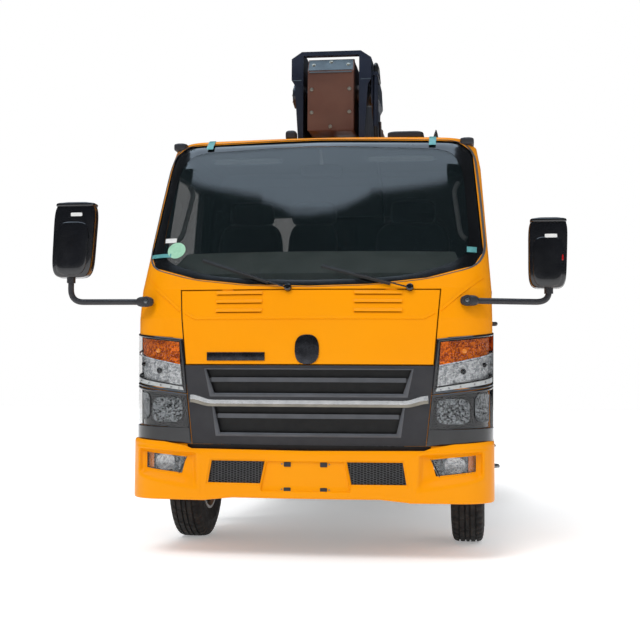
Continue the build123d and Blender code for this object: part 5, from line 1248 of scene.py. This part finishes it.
class TRUCK_OT_mirrors(bpy.types.Operator):
    """Door mirrors: leaning shells with a lip and a seam, glass, bent tubes and teardrop brackets."""
    bl_idname = "truck.mirrors"
    bl_label = "Mirrors"

    def execute(self, context):
        shell, seam, glass, label, red, tube, bolts = ([] for _ in range(7))
        for side, y, x_in, x_out, low, top, x_tube, x_foot, shift in MIRROR_TABLE:
            x, z = side * (x_in + x_out) / 2, (low + top) / 2
            half_x, half_z = (x_out - x_in) / 2 - 0.006, (top - low) / 2
            body = pillow((x, y, z), (half_x, 0.052, half_z), 5.5, 40, 72)
            shell.append(leaned(body, low, top, side * shift, 0.05))
            lip = pillow((x, y - 0.004, top - 0.018), (half_x - 0.007, 0.055, 0.014), 4.0, 16, 60)
            shell.append(leaned(lip, low, top, side * shift))
            bump = pillow((x, y - 0.046, z - 0.05), (half_x * 0.82, 0.016, half_z * 0.70), 4.0, 20, 48)
            shell.append(leaned(bump, low, top, side * shift, 0.1))
            band = pillow((x, y + 0.018, z), (half_x + 0.002, 0.0018, half_z + 0.001), 5.5, 24, 72)
            seam.append(leaned(band, low, top, side * shift, 0.05))
            face = pillow((x, y + 0.051, z), (half_x - 0.014, 0.003, half_z - 0.018), 7.0, 16, 60)
            glass.append(leaned(face, low, top, side * shift, 0.05))
            label_x, label_drop = (0.018, 0.105) if side > 0 else (0.036, 0.075)
            label.append(pillow((x + label_x, y - 0.0570, top - label_drop), (0.033, 0.0012, 0.010),
                                9.0, 8, 24))
            if side > 0:
                red.append(pillow((x + 0.074, y - 0.056, z - 0.03), (0.010, 0.0015, 0.016), 5.0, 10, 24))
            corner = [(side * x_tube, y, low + 0.05), (side * x_tube, y, ARM_Z),
                      (side * x_foot, -2.890, ARM_Z)]
            tube.append(swept(bent(corner, 0.075, 12), 0.0165, 20))
            tube.append(turned([(0, 0), (0, 0.024), (0.03, 0.024), (0.036, 0.019), (0.036, 0)],
                               (side * x_tube, y, low - 0.028), (0, 0, 1), 24))
            tube.append(pillow((side * (x_foot + 0.012), -2.902, ARM_Z), (0.050, 0.024, 0.029), 2.6, 20, 40))
            tube.append(turned([(0, 0), (0, 0.030), (0.01, 0.028), (0.012, 0)],
                               (side * x_foot, -2.915, ARM_Z), (0, -1, 0), 28))
            bolts += hexagon_head((side * x_foot, -2.927, ARM_Z), (0, -1, 0), 0.009, 0.007)
        groups = [(looks("gloss_black"), shell), (looks("chrome"), glass), (white_label(), label),
                  (red_reflector(), red)]
        build("mirror_shells", groups, replaces=("mirrors",))
        build("mirror_arms", [(looks("black_plastic"), tube + seam), (looks("leg_steel"), bolts)])
        return {"FINISHED"}


class TRUCK_OT_screen(bpy.types.Operator):
    """Windscreen border and moulding, wipers and blank labels."""
    bl_idname = "truck.screen"
    bl_label = "Windscreen"

    def execute(self, context):
        count = 150
        outer, inner = around(SCREEN_OUT, 0.075, count), around(SCREEN_IN, 0.11, count)
        border = skin_ring(outer, inner, 0.0048, 0.0058, 5)
        black = shade("Fired black screen border", "#0B0C0E", "#101113", 200, (0.16, 0.24), settings=COAT)
        build("screen_border", [(black, [border])])
        middle, grow = np.array([0, 1.93]), np.array([1.014, 1.006])
        moulding = skin_ring(middle + (outer - middle) * grow, outer, -0.0035, 0.0012, 6)
        grey = shade("Grey rubber moulding", "#54565A", "#484A4E", 60, (0.5, 0.6))
        build("screen_moulding", [(grey, [moulding])])
        self.wipers()
        self.labels()
        return {"FINISHED"}

    def wipers(self):
        """Two wipers: domed pivot, cranked arm that thins out, and a long rubber blade in its carrier."""
        arms, blades = [], []
        for x0, z0, x1, z1 in ((-0.110, 1.462, -0.606, 1.632), (0.550, 1.462, 0.068, 1.590)):
            t = np.linspace(0, 1, 30)
            x, z = x0 + t * (x1 - x0), z0 + t * (z1 - z0)
            w = unrolled(x, z)
            post = cab_skin(w[0], z0, -0.002)
            arms.append(turned([(0, 0), (0, 0.021), (0.018, 0.020), (0.026, 0.013), (0.027, 0)], post,
                               (0, -0.95, 0.3), 28))
            reach = t[:19]
            line = cab_skin(w[:19], z[:19], -0.018 - 0.014 * np.sin(reach / reach[-1] * math.pi * 0.75))
            arms.append(grown(line, oblong(0.016, 0.009, 0.003, 3), 1 - 0.45 * reach / reach[-1]))
            run = np.linspace(0.22, 1.0, 40)
            bx, bz = x0 + run * (x1 - x0), z0 + run * (z1 - z0) - 0.004
            blades.append(carried(on_cab(bx, bz), [(-0.002, -0.006), (-0.011, -0.010), (-0.017, 0.0),
                                                   (-0.011, 0.010), (-0.002, 0.006)]))
        build("wiper_arms", [(looks("gloss_black"), arms), (looks("hose"), blades)],
              replaces=("wipers",))

    def labels(self):
        """Blank paper label, blank round sticker and four bits of teal tape, all without words."""
        def tag(x0, x1, z0, z1, inset=0.0005):
            return skin_plate([(x0, z1), (x1, z1), (x1, z0), (x0, z0)], inset, inset + 0.0008, 5, 6)
        teal = shade("Teal film tape", "#4E8F92", "#5EA0A0", 20, (0.3, 0.45))
        green = shade("Pale green film", "#9CC9AE", "#8DBE9F", 15, (0.35, 0.45))
        disc = turned([(0, 0), (0, 0.052), (0.0012, 0.052), (0.0012, 0)],
                      on_cab(-0.772, 1.690, 0.006) - np.array([0, 0.0075, 0]), (-0.10, -0.895, 0.43), 40)
        tape = [tag(-0.930, -0.800, 1.650, 1.672, -0.0045), tag(0.852, 0.905, 1.668, 1.700, -0.0045),
                tag(-0.672, -0.632, 2.320, 2.385, -0.0045), tag(0.632, 0.672, 2.320, 2.385, -0.0045)]
        groups = [(white_label(), [tag(-0.850, -0.780, 1.738, 1.764)]), (teal, tape), (green, [disc])]
        build("screen_labels", groups)


# Middle and half width of each seat
SEAT_TABLE = [(0.480, 0.245), (-0.180, 0.165), (-0.600, 0.215)]
SEAT_LEAN = 0.16


class TRUCK_OT_cabin(bpy.types.Operator):
    """Seats, head rests, dashboard fittings, sun visors, grab handles and rear-view mirror."""
    bl_idname = "truck.cabin"
    bl_label = "Cabin"

    def execute(self, context):
        vinyl = shade("Dark seat vinyl", "#1A1B1E", "#222326", 60, (0.45, 0.6), ("cells", 3, 0.08))
        pads, trims = [], []
        for x, half in SEAT_TABLE:
            points, faces = pillow((x, -1.870, 1.335), (half, 0.270, 0.075), 4.5, 32, 64)
            middle = np.exp(-((points[:, 0] - x) / (half * 0.62)) ** 4)
            points[:, 2] -= 0.020 * middle * (points[:, 2] > 1.335)
            pads.append((points, faces))
            points, faces = pillow((x, -1.545, 1.690), (half, 0.075, 0.335), 4.5, 40, 64)
            lean = SEAT_LEAN * (points[:, 2] - 1.35)
            points[:, 1] += lean
            middle = np.exp(-((points[:, 0] - x) / (half * 0.60)) ** 4)
            points[:, 1] += 0.025 * middle * (points[:, 1] < -1.545 + lean)
            pads.append((points, faces))
            pads.append(pillow((x, -1.425, 2.085), (min(half, 0.15), 0.050, 0.085), 3.6, 24, 40))
            for dx in (-0.05, 0.05):
                trims.append(swept([(x + dx, -1.455, 1.98), (x + dx, -1.435, 2.06)], 0.006, 10))
            trims.append(cuboid((x - half + 0.03, -2.080, 1.0455), (x + half - 0.03, -1.640, 1.262)))
        seats = build("seat_pads", [(looks("seat_cloth"), pads)], replaces=("seats",))
        build("seat_bases", [(vinyl, trims)])
        self.dash()
        return {"FINISHED"}

    def dash(self):
        """Instrument hood, dashboard pad, air vents, wheel hub, gear lever, visors, mirror and handles."""
        hood = pillow((0.465, -2.545, 1.545), (0.185, 0.10, 0.050), 3.0, 24, 48)
        x = np.linspace(-0.80, 0.80, 40)
        pad = carried(np.stack([x, -2.665 + x ** 2 / (2 * BOW_R), 1.50 + 0 * x], -1),
                      [(0.14, 0.0), (0.15, 0.055), (0.11, 0.083), (-0.08, 0.198), (-0.11, 0.205),
                       (-0.13, 0.19), (-0.13, 0.0)])
        centre = pillow((0.0, -2.480, 1.395), (0.20, 0.035, 0.10), 5.0, 20, 40)
        vents = [pillow((x, -2.478, 1.44), (0.055, 0.010, 0.028), 6.0, 10, 30) for x in (-0.72, -0.28, 0.74)]
        lever = swept(bent([(0.10, -2.15, 1.06), (0.10, -2.18, 1.30), (0.12, -2.14, 1.46)], 0.06), 0.009, 12)
        knob = pillow((0.12, -2.138, 1.485), (0.024, 0.024, 0.034), 2.4, 14, 24)
        points, faces = pillow((0.455, -2.345, 1.492), (0.075, 0.055, 0.034), 2.8, 18, 32)
        hub = (points - 0.45 * UP * (points[:, 1:2] + 2.345), faces)
        visors = [pillow((x, -2.330, 2.275), (0.205, 0.050, 0.010), 5.0, 12, 40) for x in (-0.46, 0.46)]
        stalk = swept(bent([(0.0, -2.46, 2.31), (0.0, -2.42, 2.27), (0.0, -2.40, 2.22)], 0.02), 0.008, 10)
        mirror = pillow((0.0, -2.405, 2.195), (0.125, 0.016, 0.036), 4.0, 14, 40)
        handles = []
        for side in (-1, 1):
            line = [(side * 0.800, -2.380, 2.120), (side * 0.772, -2.385, 2.075), (side * 0.812, -2.500, 1.800),
                    (side * 0.845, -2.520, 1.770)]
            handles.append(swept(bent(line, 0.05), 0.014, 14))
        dark = [hood, centre] + vents + [knob, mirror, hub]
        build("dash_fittings", [(looks("black_plastic"), dark), (looks("leg_steel"), [lever]),
                                (looks("dash_plastic"), visors + [pad])])
        pale = shade("Pale grab handle", "#A9ABAA", "#9C9E9D", 50, (0.45, 0.55))
        build("grab_handles", [(pale, handles + [stalk])])


class TRUCK_OT_turret(bpy.types.Operator):
    """Bolts and plates of the boom's end cover, whose grey is a painted sky reflection, grey strips beside it
    as painted highlight, cheek edges, pin caps and hydraulic pipes of the turret.
    """
    bl_idname = "truck.turret"
    bl_label = "Turret and boom"

    def execute(self, context):
        steel = shade("Zinc-plated fastener", "#A9A79C", "#8F8D84", 12, (0.3, 0.45),
                      settings={"Metallic": 0.8})
        # This bluish grey is a painted reflection of the sky on tilted plates and ledges whose paint is brown
        # or black.
        grey = shade("Grey painted sky reflection", "#50606B", "#46545E", 80, (0.4, 0.55), ("noise", 6, 0.03))
        heads = []
        for x in (-0.118, 0.118):
            for z in (2.635, 2.780):
                heads += hexagon_head((x, -2.020, z), (0, -1, 0), 0.009, 0.007)
        heads += hexagon_head((0.0, -2.020, 2.545), (0, -1, 0), 0.009, 0.007)
        normal = np.array([0, -0.086, 0.051]) / math.hypot(0.086, 0.051)
        for x, up in ((-0.108, 0.0), (0.0, 0.020), (0.108, 0.0)):
            spot = np.array([x, -1.9945 + 0.593 * up, 2.937 + up]) + normal * 0.0042
            heads += hexagon_head(spot, normal, 0.009, 0.007)
        # The cover's tilted upper plate and the bar just below it carry the grey: a painted sky reflection.
        edges = ((-2.0165, 2.900), (-1.9725, 2.974))
        front = np.array([[(x, y, z) for x in (-0.138, 0.138)] for y, z in edges])
        cap = slab(front + normal * 0.004, front + normal * 0.0002)
        frame_bar = [cuboid((-0.132, -2.0265, 2.884), (0.132, -2.0202, 2.890))]
        groups = [(steel, heads), (grey, [cap] + frame_bar)]
        build("cover_bolts", groups, body="boom_outer")
        # Thin grey strips beside the boom's end: a painted highlight on a ledge.
        line = both([cuboid((0.186, -1.9915, 2.8455), (0.247, -1.9900, 2.8485))])
        build("turret_details", [(looks("turret_black"), self.cheeks()), (steel, self.cheek_bolts()),
                                 (grey, line)], body="turret")
        build("turret_pipes", [(pipe_paint(), self.pipes())], body="turret")
        return {"FINISHED"}

    def cheeks(self):
        """Caps on the boom's pivot and a tube along each cheek's edge."""
        cap = turned([(0, 0), (0, 0.062), (0.006, 0.058), (0.006, 0)], BOOM_PIVOT + (0.264, 0, 0),
                     (1, 0, 0), 40)
        tubes = [swept([(x, -1.42, 2.70), (x, -1.32, 2.48)], 0.010, 12) for x in (-0.257, 0.257)]
        return both([cap]) + tubes

    def cheek_bolts(self):
        """Rows of bolts round the pivot caps and on the base plate."""
        parts = []
        for side in (-1, 1):
            for k in range(6):
                a = k * math.pi / 3
                spot = BOOM_PIVOT + (side * 0.269, 0.042 * math.cos(a), 0.042 * math.sin(a))
                parts += hexagon_head(spot, (side, 0, 0), 0.007, 0.006)
        for k in range(20):
            a = (k + 0.5) * math.pi / 10
            spot = (0.415 * math.cos(a), SLEW_Y + 0.415 * math.sin(a), 1.110)
            parts += hexagon_head(spot, (0, 0, 1), 0.011, 0.009)
        return parts

    def pipes(self):
        """Rigid hydraulic pipes, bent from steel, that run down the right cheek to the turret's base."""
        parts = []
        for k, y in enumerate((-1.930, -1.892, -1.854)):
            spread = 0.035 * k
            line = [(0.272, y, 2.566), (0.274, y + 0.02, 2.40), (0.275, -1.46 + spread, 2.22),
                    (0.275, -0.96 + spread, 1.66), (0.262, -0.86 + spread, 1.25),
                    (0.230, -0.84 + spread, 1.13)]
            parts.append(swept(bent(line, 0.13, 9), PIPE_R, 12))
            top = [(0.272, y, 2.900), (0.272, y, 2.955), (0.272, y + 0.10, 2.975),
                   (0.262, -1.60 + spread, 2.93)]
            parts.append(swept(bent(top, 0.05, 7), PIPE_R, 12))
        return parts


TYRE_HALF = 0.0975
TREAD = [
    # share of half width, radius, is it in a groove, does the shoulder pattern cut it
    (0.74, 0.2050, 0, 0), (0.84, 0.2180, 0, 0), (0.92, 0.2380, 0, 0), (0.965, 0.2600, 0, 0),
    (1.00, 0.2820, 0, 0), (1.015, 0.2860, 0, 0), (1.015, 0.2920, 0, 0), (1.00, 0.2960, 0, 0),
    (0.99, 0.3200, 0, 0), (0.96, 0.3440, 0, 0), (0.93, 0.3560, 0, 1), (0.87, 0.3720, 0, 1),
    (0.80, 0.3800, 0, 1), (0.66, 0.3850, 0, 1), (0.545, 0.3865, 0, 1), (0.535, 0.3866, 1, 0),
    (0.455, 0.3870, 1, 0), (0.445, 0.3870, 0, 2), (0.300, 0.3878, 0, 2), (0.195, 0.3880, 0, 2),
    (0.185, 0.3880, 1, 0), (0.105, 0.3880, 1, 0), (0.095, 0.3880, 0, 3),
]


def tyre(x, y, z, outward_side):
    """Tyre: crowned profile with straight grooves, cross cuts in the ribs and slanted shoulder blocks.

    The profile is swept round the axle; where a groove or a cut falls, the radius drops by its depth."""
    half = np.array(TREAD, float)
    other = half[::-1] * np.array([-1, 1, 1, 1])
    table = np.concatenate([half, other])
    count = 288
    turn = np.arange(count)
    across, radius, groove, kind = (table[:, k][:, None] for k in range(4))
    shift = np.where(kind == 1, 2 * np.abs(across), 4 * across)
    place = (turn[None, :] + np.round(shift * 2)) % 6
    shoulder = (kind == 1) & (place < 2) & (radius > 0.36)
    cut = shoulder | ((kind >= 2) & (place == 3) & (turn % 12 < 6))
    depth = 0.010 * groove + 0.0065 * cut
    angle = turn * 2 * math.pi / count
    r = radius - depth
    sideways = outward_side * across * TYRE_HALF + 0 * r
    points = np.stack([x + sideways, y + r * np.cos(angle), z + r * np.sin(angle)], -1)
    points = np.concatenate([points, points[:1]])
    return outward(points.reshape(-1, 3), [grid(len(points), count, True)])


class TRUCK_OT_wheels(bpy.types.Operator):
    """Tyres with tread, wheel nuts, hub caps and valves."""
    bl_idname = "truck.wheels"
    bl_label = "Wheels"

    def execute(self, context):
        nut = shade("Zinc-plated wheel nut", "#9E9C92", "#858379", 10, (0.3, 0.45),
                    settings={"Metallic": 0.85})
        for side, name in ((-1, "left"), (1, "right")):
            rows = ((f"tyre_front_{name}", f"wheel_front_{name}", (0.845,), FRONT_AXLE_Y),
                    (f"tyres_rear_{name}", f"wheels_rear_{name}", (0.885, 0.660), REAR_AXLE_Y))
            for node, body, places, y in rows:
                shapes = [tyre(side * x, y, AXLE_Z, side) for x in places]
                build(f"tread_{node}", [(looks("tyre_rubber"), shapes)], body=body,
                      replaces=(node,), sharp=38)
            front, rear = [], []
            for k in range(6):
                a = k * math.pi / 3 + 0.3
                for heads, x, y, radius, height in ((front, 0.9071, FRONT_AXLE_Y, 0.103, 0.024),
                                                    (rear, 0.8826, REAR_AXLE_Y, 0.088, 0.022)):
                    spot = (side * x, y + radius * math.cos(a), AXLE_Z + radius * math.sin(a))
                    heads.extend(hexagon_head(spot, (side, 0, 0), 0.0155, height))
            cap = [(0, 0), (0, 0.050), (0.012, 0.048), (0.020, 0.036), (0.023, 0.015), (0.023, 0)]
            front.append(turned(cap, (side * 0.9252, FRONT_AXLE_Y, AXLE_Z), (side, 0, 0), 40))
            rear.append(turned(cap, (side * 0.8827, REAR_AXLE_Y, AXLE_Z), (side, 0, 0), 40))
            front.append(swept([(side * 0.900, FRONT_AXLE_Y + 0.185, AXLE_Z),
                                (side * 0.925, FRONT_AXLE_Y + 0.178, AXLE_Z)], 0.0042, 10))
            build(f"nuts_front_{name}", [(nut, front)], body=f"wheel_front_{name}")
            build(f"nuts_rear_{name}", [(nut, rear)], body=f"wheels_rear_{name}")
        return {"FINISHED"}


class TRUCK_OT_body(bpy.types.Operator):
    """Door handles and mouldings, lockers, tank cap, reflectors, mud flaps and load bed fittings."""
    bl_idname = "truck.body"
    bl_label = "Body sides and bed"

    def execute(self, context):
        for side, name in ((-1, "left"), (1, "right")):
            self.door(side, name)
        self.sides()
        self.bed()
        self.cab_rear()
        return {"FINISHED"}

    def door(self, side, name):
        """Handle in its cup, lock, belt moulding and a pressed line along the door."""
        cup = pillow((side * 0.9905, -1.640, 1.330), (0.003, 0.075, 0.036), 4.0, 16, 40)
        grip = swept(bent([(side * 0.992, -1.705, 1.338), (side * 1.018, -1.700, 1.338),
                           (side * 1.018, -1.580, 1.338), (side * 0.992, -1.575, 1.338)], 0.014), 0.010, 12)
        lock = turned([(0, 0), (0, 0.011), (0.003, 0.010), (0.003, 0)], (side * 0.9935, -1.545, 1.300),
                      (side, 0, 0), 20)
        half = float(cab_row(1.470)[0])
        belt = carried([(side * half, -2.450, 1.472), (side * half, -1.600, 1.472)],
                       oblong(0.006, 0.018, 0.002, 3))
        path = [(side * 0.9905, -2.560, 0.760), (side * 0.9905, -1.560, 0.760)]
        step_line = carried(path, oblong(0.004, 0.030, 0.0018, 3))
        groups = [(looks("black_plastic"), [cup, grip, belt]), (looks("chrome"), [lock]),
                  (looks("cab_yellow"), [step_line])]
        build(f"door_trim_{name}", groups, body=f"door_{name}")

    def sides(self):
        """Locker hinges and latches, filler cap, tank straps, steps, side lamps, reflectors and mud flaps."""
        latch, dark = [], []
        for y in (-0.250, 0.100, 0.450):
            latch.append(cuboid((-0.8625, y - 0.028, 0.772), (-0.8563, y + 0.028, 0.800)))
            latch.append(pillow((-0.861, y, 0.505), (0.007, 0.034, 0.016), 4.0, 12, 24))
        for y in (0.0, 0.440):
            strap = bent([(0.446, y, 0.805), (0.745, y, 0.805), (0.805, y, 0.745), (0.805, y, 0.475),
                          (0.745, y, 0.415), (0.500, y, 0.415)], 0.03)
            dark.append(carried(resampled(strap, 40), oblong(0.004, 0.040, 0.0015, 2), (0.0, 1.0, 0.0)))
        dark.append(turned([(0, 0), (0, 0.045), (0.018, 0.045), (0.024, 0.038), (0.024, 0)],
                           (0.760, 0.300, 0.792), (0.5, 0, 0.87), 32))
        flap = [cuboid((0.510, 1.935, 0.240), (0.730, 1.943, 0.640)),
                cuboid((0.580, 1.930, 0.636), (0.620, 1.980, 0.700))]
        steps = [cuboid((0.700, -1.300, z), (0.900, -1.160, z + 0.022)) for z in (0.36, 0.48)]
        lamps = [pillow((0.9575, y, 0.745), (0.0045, 0.045, 0.018), 5.0, 12, 30) for y in (-0.78, 0.0, 0.78)]
        reflector = pillow((0.885, 2.396, 0.500), (0.020, 0.004, 0.020), 2.2, 12, 30)
        plate_rear = cuboid((-0.260, 2.3925, 0.470), (0.260, 2.3945, 0.545))
        groups = [(looks("leg_steel"), latch), (looks("black_plastic"), dark + both(flap + steps)),
                  (orange_moulding(), both(lamps)), (red_reflector(), both([reflector])),
                  (looks("bare_aluminium"), [plate_rear])]
        build("side_fittings", groups)

    def bed(self):
        """Tie-down rings, bolt heads along the bed's edges and the rest's rubber pad."""
        heads, rings = [], []
        a = np.linspace(0, math.pi, 16)
        for side in (-1, 1):
            for y in np.linspace(-0.90, 2.10, 13):
                heads += hexagon_head((side * 0.9852, y, 0.935), (side, 0, 0), 0.008, 0.006)
            for y in (-0.25, 0.60, 1.10, 1.85):
                x = side * 0.900
                way = np.stack([x + 0 * a, y + 0.034 * np.cos(a), 0.951 + 0.040 * np.sin(a)], -1)
                rings.append(swept(way, 0.006, 10))
                rings.append(cuboid((x - 0.022, y - 0.050, 0.9502), (x + 0.022, y + 0.050, 0.955)))
        pads = both([cuboid((0.108, 1.425, 2.478), (0.128, 1.575, 2.5135))])
        groups = [(looks("leg_steel"), heads + rings), (looks("hose"), pads)]
        build("bed_fittings", groups)

    def cab_rear(self):
        """Grab bar, rear window seal and ribs on the cab's rear wall."""
        line = [(0.60, -1.290, 1.56), (0.60, -1.235, 1.56), (0.60, -1.235, 2.06), (0.60, -1.290, 2.06)]
        bars = both([swept(bent(line, 0.04), 0.011, 14)])
        seal = around([(0, 1.612), (0.526, 1.612), (0.526, 2.088), (0, 2.088)], 0.06, 40)
        path = np.stack([seal[:, 0], 0 * seal[:, 0] - 1.2935, seal[:, 1]], -1)
        rubber = carried(path, ring(0.009, 10), up=np.array([0.0, 1.0, 0.0]), closed=True)
        ribs = [cuboid((-0.60, -1.2948, z), (0.60, -1.2885, z + 0.030)) for z in (1.10, 1.22, 1.34)]
        groups = [(looks("black_plastic"), bars), (looks("hose"), [rubber]), (looks("cab_yellow"), ribs)]
        build("cab_rear_trim", groups)


class TRUCK_OT_platform(bpy.types.Operator):
    """Work platform: floor, levers, stop button and plates; and boom, cylinder and outrigger details."""
    bl_idname = "truck.platform"
    bl_label = "Platform, boom and outriggers"

    def execute(self, context):
        floor = cuboid((-0.594, 2.452, 1.2102), (0.594, 2.985, 1.2130))
        levers, knobs = [], []
        for k in range(5):
            x, lean = -0.110 + 0.055 * k, 0.006 * (k % 2)
            levers.append(swept([(x, 2.520, 2.289), (x, 2.530 + lean, 2.352)], 0.0042, 10))
            knobs.append(pillow((x, 2.531 + lean, 2.362), (0.011, 0.011, 0.014), 2.2, 12, 18))
        stop = turned([(0, 0), (0, 0.017), (0.010, 0.021), (0.018, 0.019), (0.020, 0)],
                      (0.135, 2.5755, 2.235), (0, 1, 0), 28)
        box_lid = cuboid((-0.168, 2.450, 2.2902), (0.168, 2.582, 2.296))
        box_plate = cuboid((-0.130, 2.5752, 2.150), (0.090, 2.5768, 2.265))
        groups = [(looks("chequer"), [floor]), (looks("black_plastic"), knobs + [box_lid]),
                  (looks("leg_steel"), levers), (lens_like("Red button", "#B3191B", 1.0, 0.25), [stop]),
                  (looks("bare_aluminium"), [box_plate])]
        build("platform_fittings", groups, body="basket")
        self.boom()
        self.legs()
        return {"FINISHED"}

    def boom(self):
        """Ribs and weld beads of the outer section, carrier clamps, pipes, and the cylinder's pipe."""
        ribs = [cuboid((0.1452, y - 0.030, 2.530), (0.1495, y + 0.030, 2.970)) for y in (-0.70, 0.10, 0.90)]
        for z in (2.545, 2.955):
            ribs.append(carried([(0.1465, -1.40, z), (0.1465, 1.76, z)], oblong(0.004, 0.014, 0.0015, 2)))
        bolts = []
        for side in (-1, 1):
            for y in (1.800, 1.850):
                for z in (2.60, 2.75, 2.90):
                    bolts += hexagon_head((side * 0.1592, y, z), (side, 0, 0), 0.009, 0.007)
        for y in (-0.95, -0.30, 0.35, 1.00, 1.60):
            bolts.append(cuboid((-0.075, y - 0.018, 3.0423), (0.075, y + 0.018, 3.0468)))
            for x in (-0.066, 0.066):
                bolts += hexagon_head((x, y, 3.0470), (0, 0, 1), 0.007, 0.006)
        build("boom_details", [(looks("boom_brown"), both(ribs)), (looks("leg_steel"), bolts)],
              body="boom_outer")
        pipes = []
        for x in (-0.030, 0.0, 0.030):
            line = [(x, -1.152, 3.010), (x, -1.30, 3.018), (x, -1.62, 3.006), (x, -1.80, 2.992)]
            pipes.append(swept(bent(line, 0.1), 0.0095, 12))
        build("boom_pipes", [(pipe_paint(), pipes)], body="boom_outer")
        reach = np.linalg.norm(LIFT_EYE - LIFT_FOOT)
        way = (LIFT_EYE - LIFT_FOOT) / reach
        aside = np.array([0, -way[2], way[1]])
        pipe_from = LIFT_FOOT + way * 0.16 + aside * 0.086
        parts = [swept([pipe_from, pipe_from + way * (reach - 0.42)], 0.009, 12)]
        for k in range(8):
            a = k * math.pi / 4
            spot = LIFT_FOOT + way * (reach - 0.190) + np.array([0.062 * math.cos(a), 0, 0])
            parts += hexagon_head(spot + aside * 0.062 * math.sin(a), way, 0.006, 0.005)
        build("cylinder_details", [(looks("leg_steel"), parts)], body="lift_barrel")

    def legs(self):
        """Banded warning colours on the jack feet and a cap on each jack."""
        white = shade("White marking paint", "#D6D4CE", "#C8C6C0", 40, (0.5, 0.6))
        red = shade("Red marking paint", "#A3211C", "#8F1D19", 40, (0.5, 0.6))
        band = [(0, 0.0552), (0, 0.0565), (0.03, 0.0565), (0.03, 0.0552), (0, 0.0552)]
        for side, name, front_y in ((-1, "left", -1.205), (1, "right", -1.062)):
            for where, body, y in (("front", f"outrigger_beam_{name}", front_y), ("rear", "root", 2.285)):
                cap = turned([(0, 0), (0, 0.059), (0.010, 0.059), (0.016, 0.050), (0.018, 0)],
                             (side * JACK_X, y, 1.0302), (0, 0, 1), 36)
                bands = [turned(band, (side * JACK_X, y, low), (0, 0, 1), 40) for low in BAND_LOWS]
                groups = [(looks("chassis_black"), [cap]), (white, bands[::2]), (red, bands[1::2])]
                build(f"jack_marks_{where}_{name}", groups, body=body)


OPERATORS = (TRUCK_OT_stage, TRUCK_OT_finishes, TRUCK_OT_lamps, TRUCK_OT_bumper, TRUCK_OT_grille,
             TRUCK_OT_mirrors, TRUCK_OT_screen, TRUCK_OT_cabin, TRUCK_OT_turret, TRUCK_OT_wheels,
             TRUCK_OT_body, TRUCK_OT_platform)


class TRUCK_PT_panel(bpy.types.Panel):
    """Lists the groups of pieces in the sidebar."""
    bl_idname = "TRUCK_PT_panel"
    bl_label = "Truck"
    bl_space_type = "VIEW_3D"
    bl_region_type = "UI"
    bl_category = "Truck"

    def draw(self, context):
        own = context.scene.truck_looks
        for key in own.bl_rna.properties.keys():
            if key not in ("rna_type", "name"):
                self.layout.prop(own, key)
        for operator in OPERATORS:
            self.layout.operator(operator.bl_idname)


CLASSES = (TruckLooks, *OPERATORS, TRUCK_PT_panel)


def register():
    """Registers the classes and hangs the sizes and colours on the scene."""
    for item in CLASSES:
        bpy.utils.register_class(item)
    bpy.types.Scene.truck_looks = bpy.props.PointerProperty(type=TruckLooks)


def unregister():
    """Undoes register."""
    del bpy.types.Scene.truck_looks
    for item in reversed(CLASSES):
        bpy.utils.unregister_class(item)


def main():
    """Makes every group in order."""
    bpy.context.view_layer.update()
    register()
    for operator in OPERATORS:
        group, name = operator.bl_idname.split(".")
        getattr(getattr(bpy.ops, group), name)()


if __name__ == "__main__":
    main()
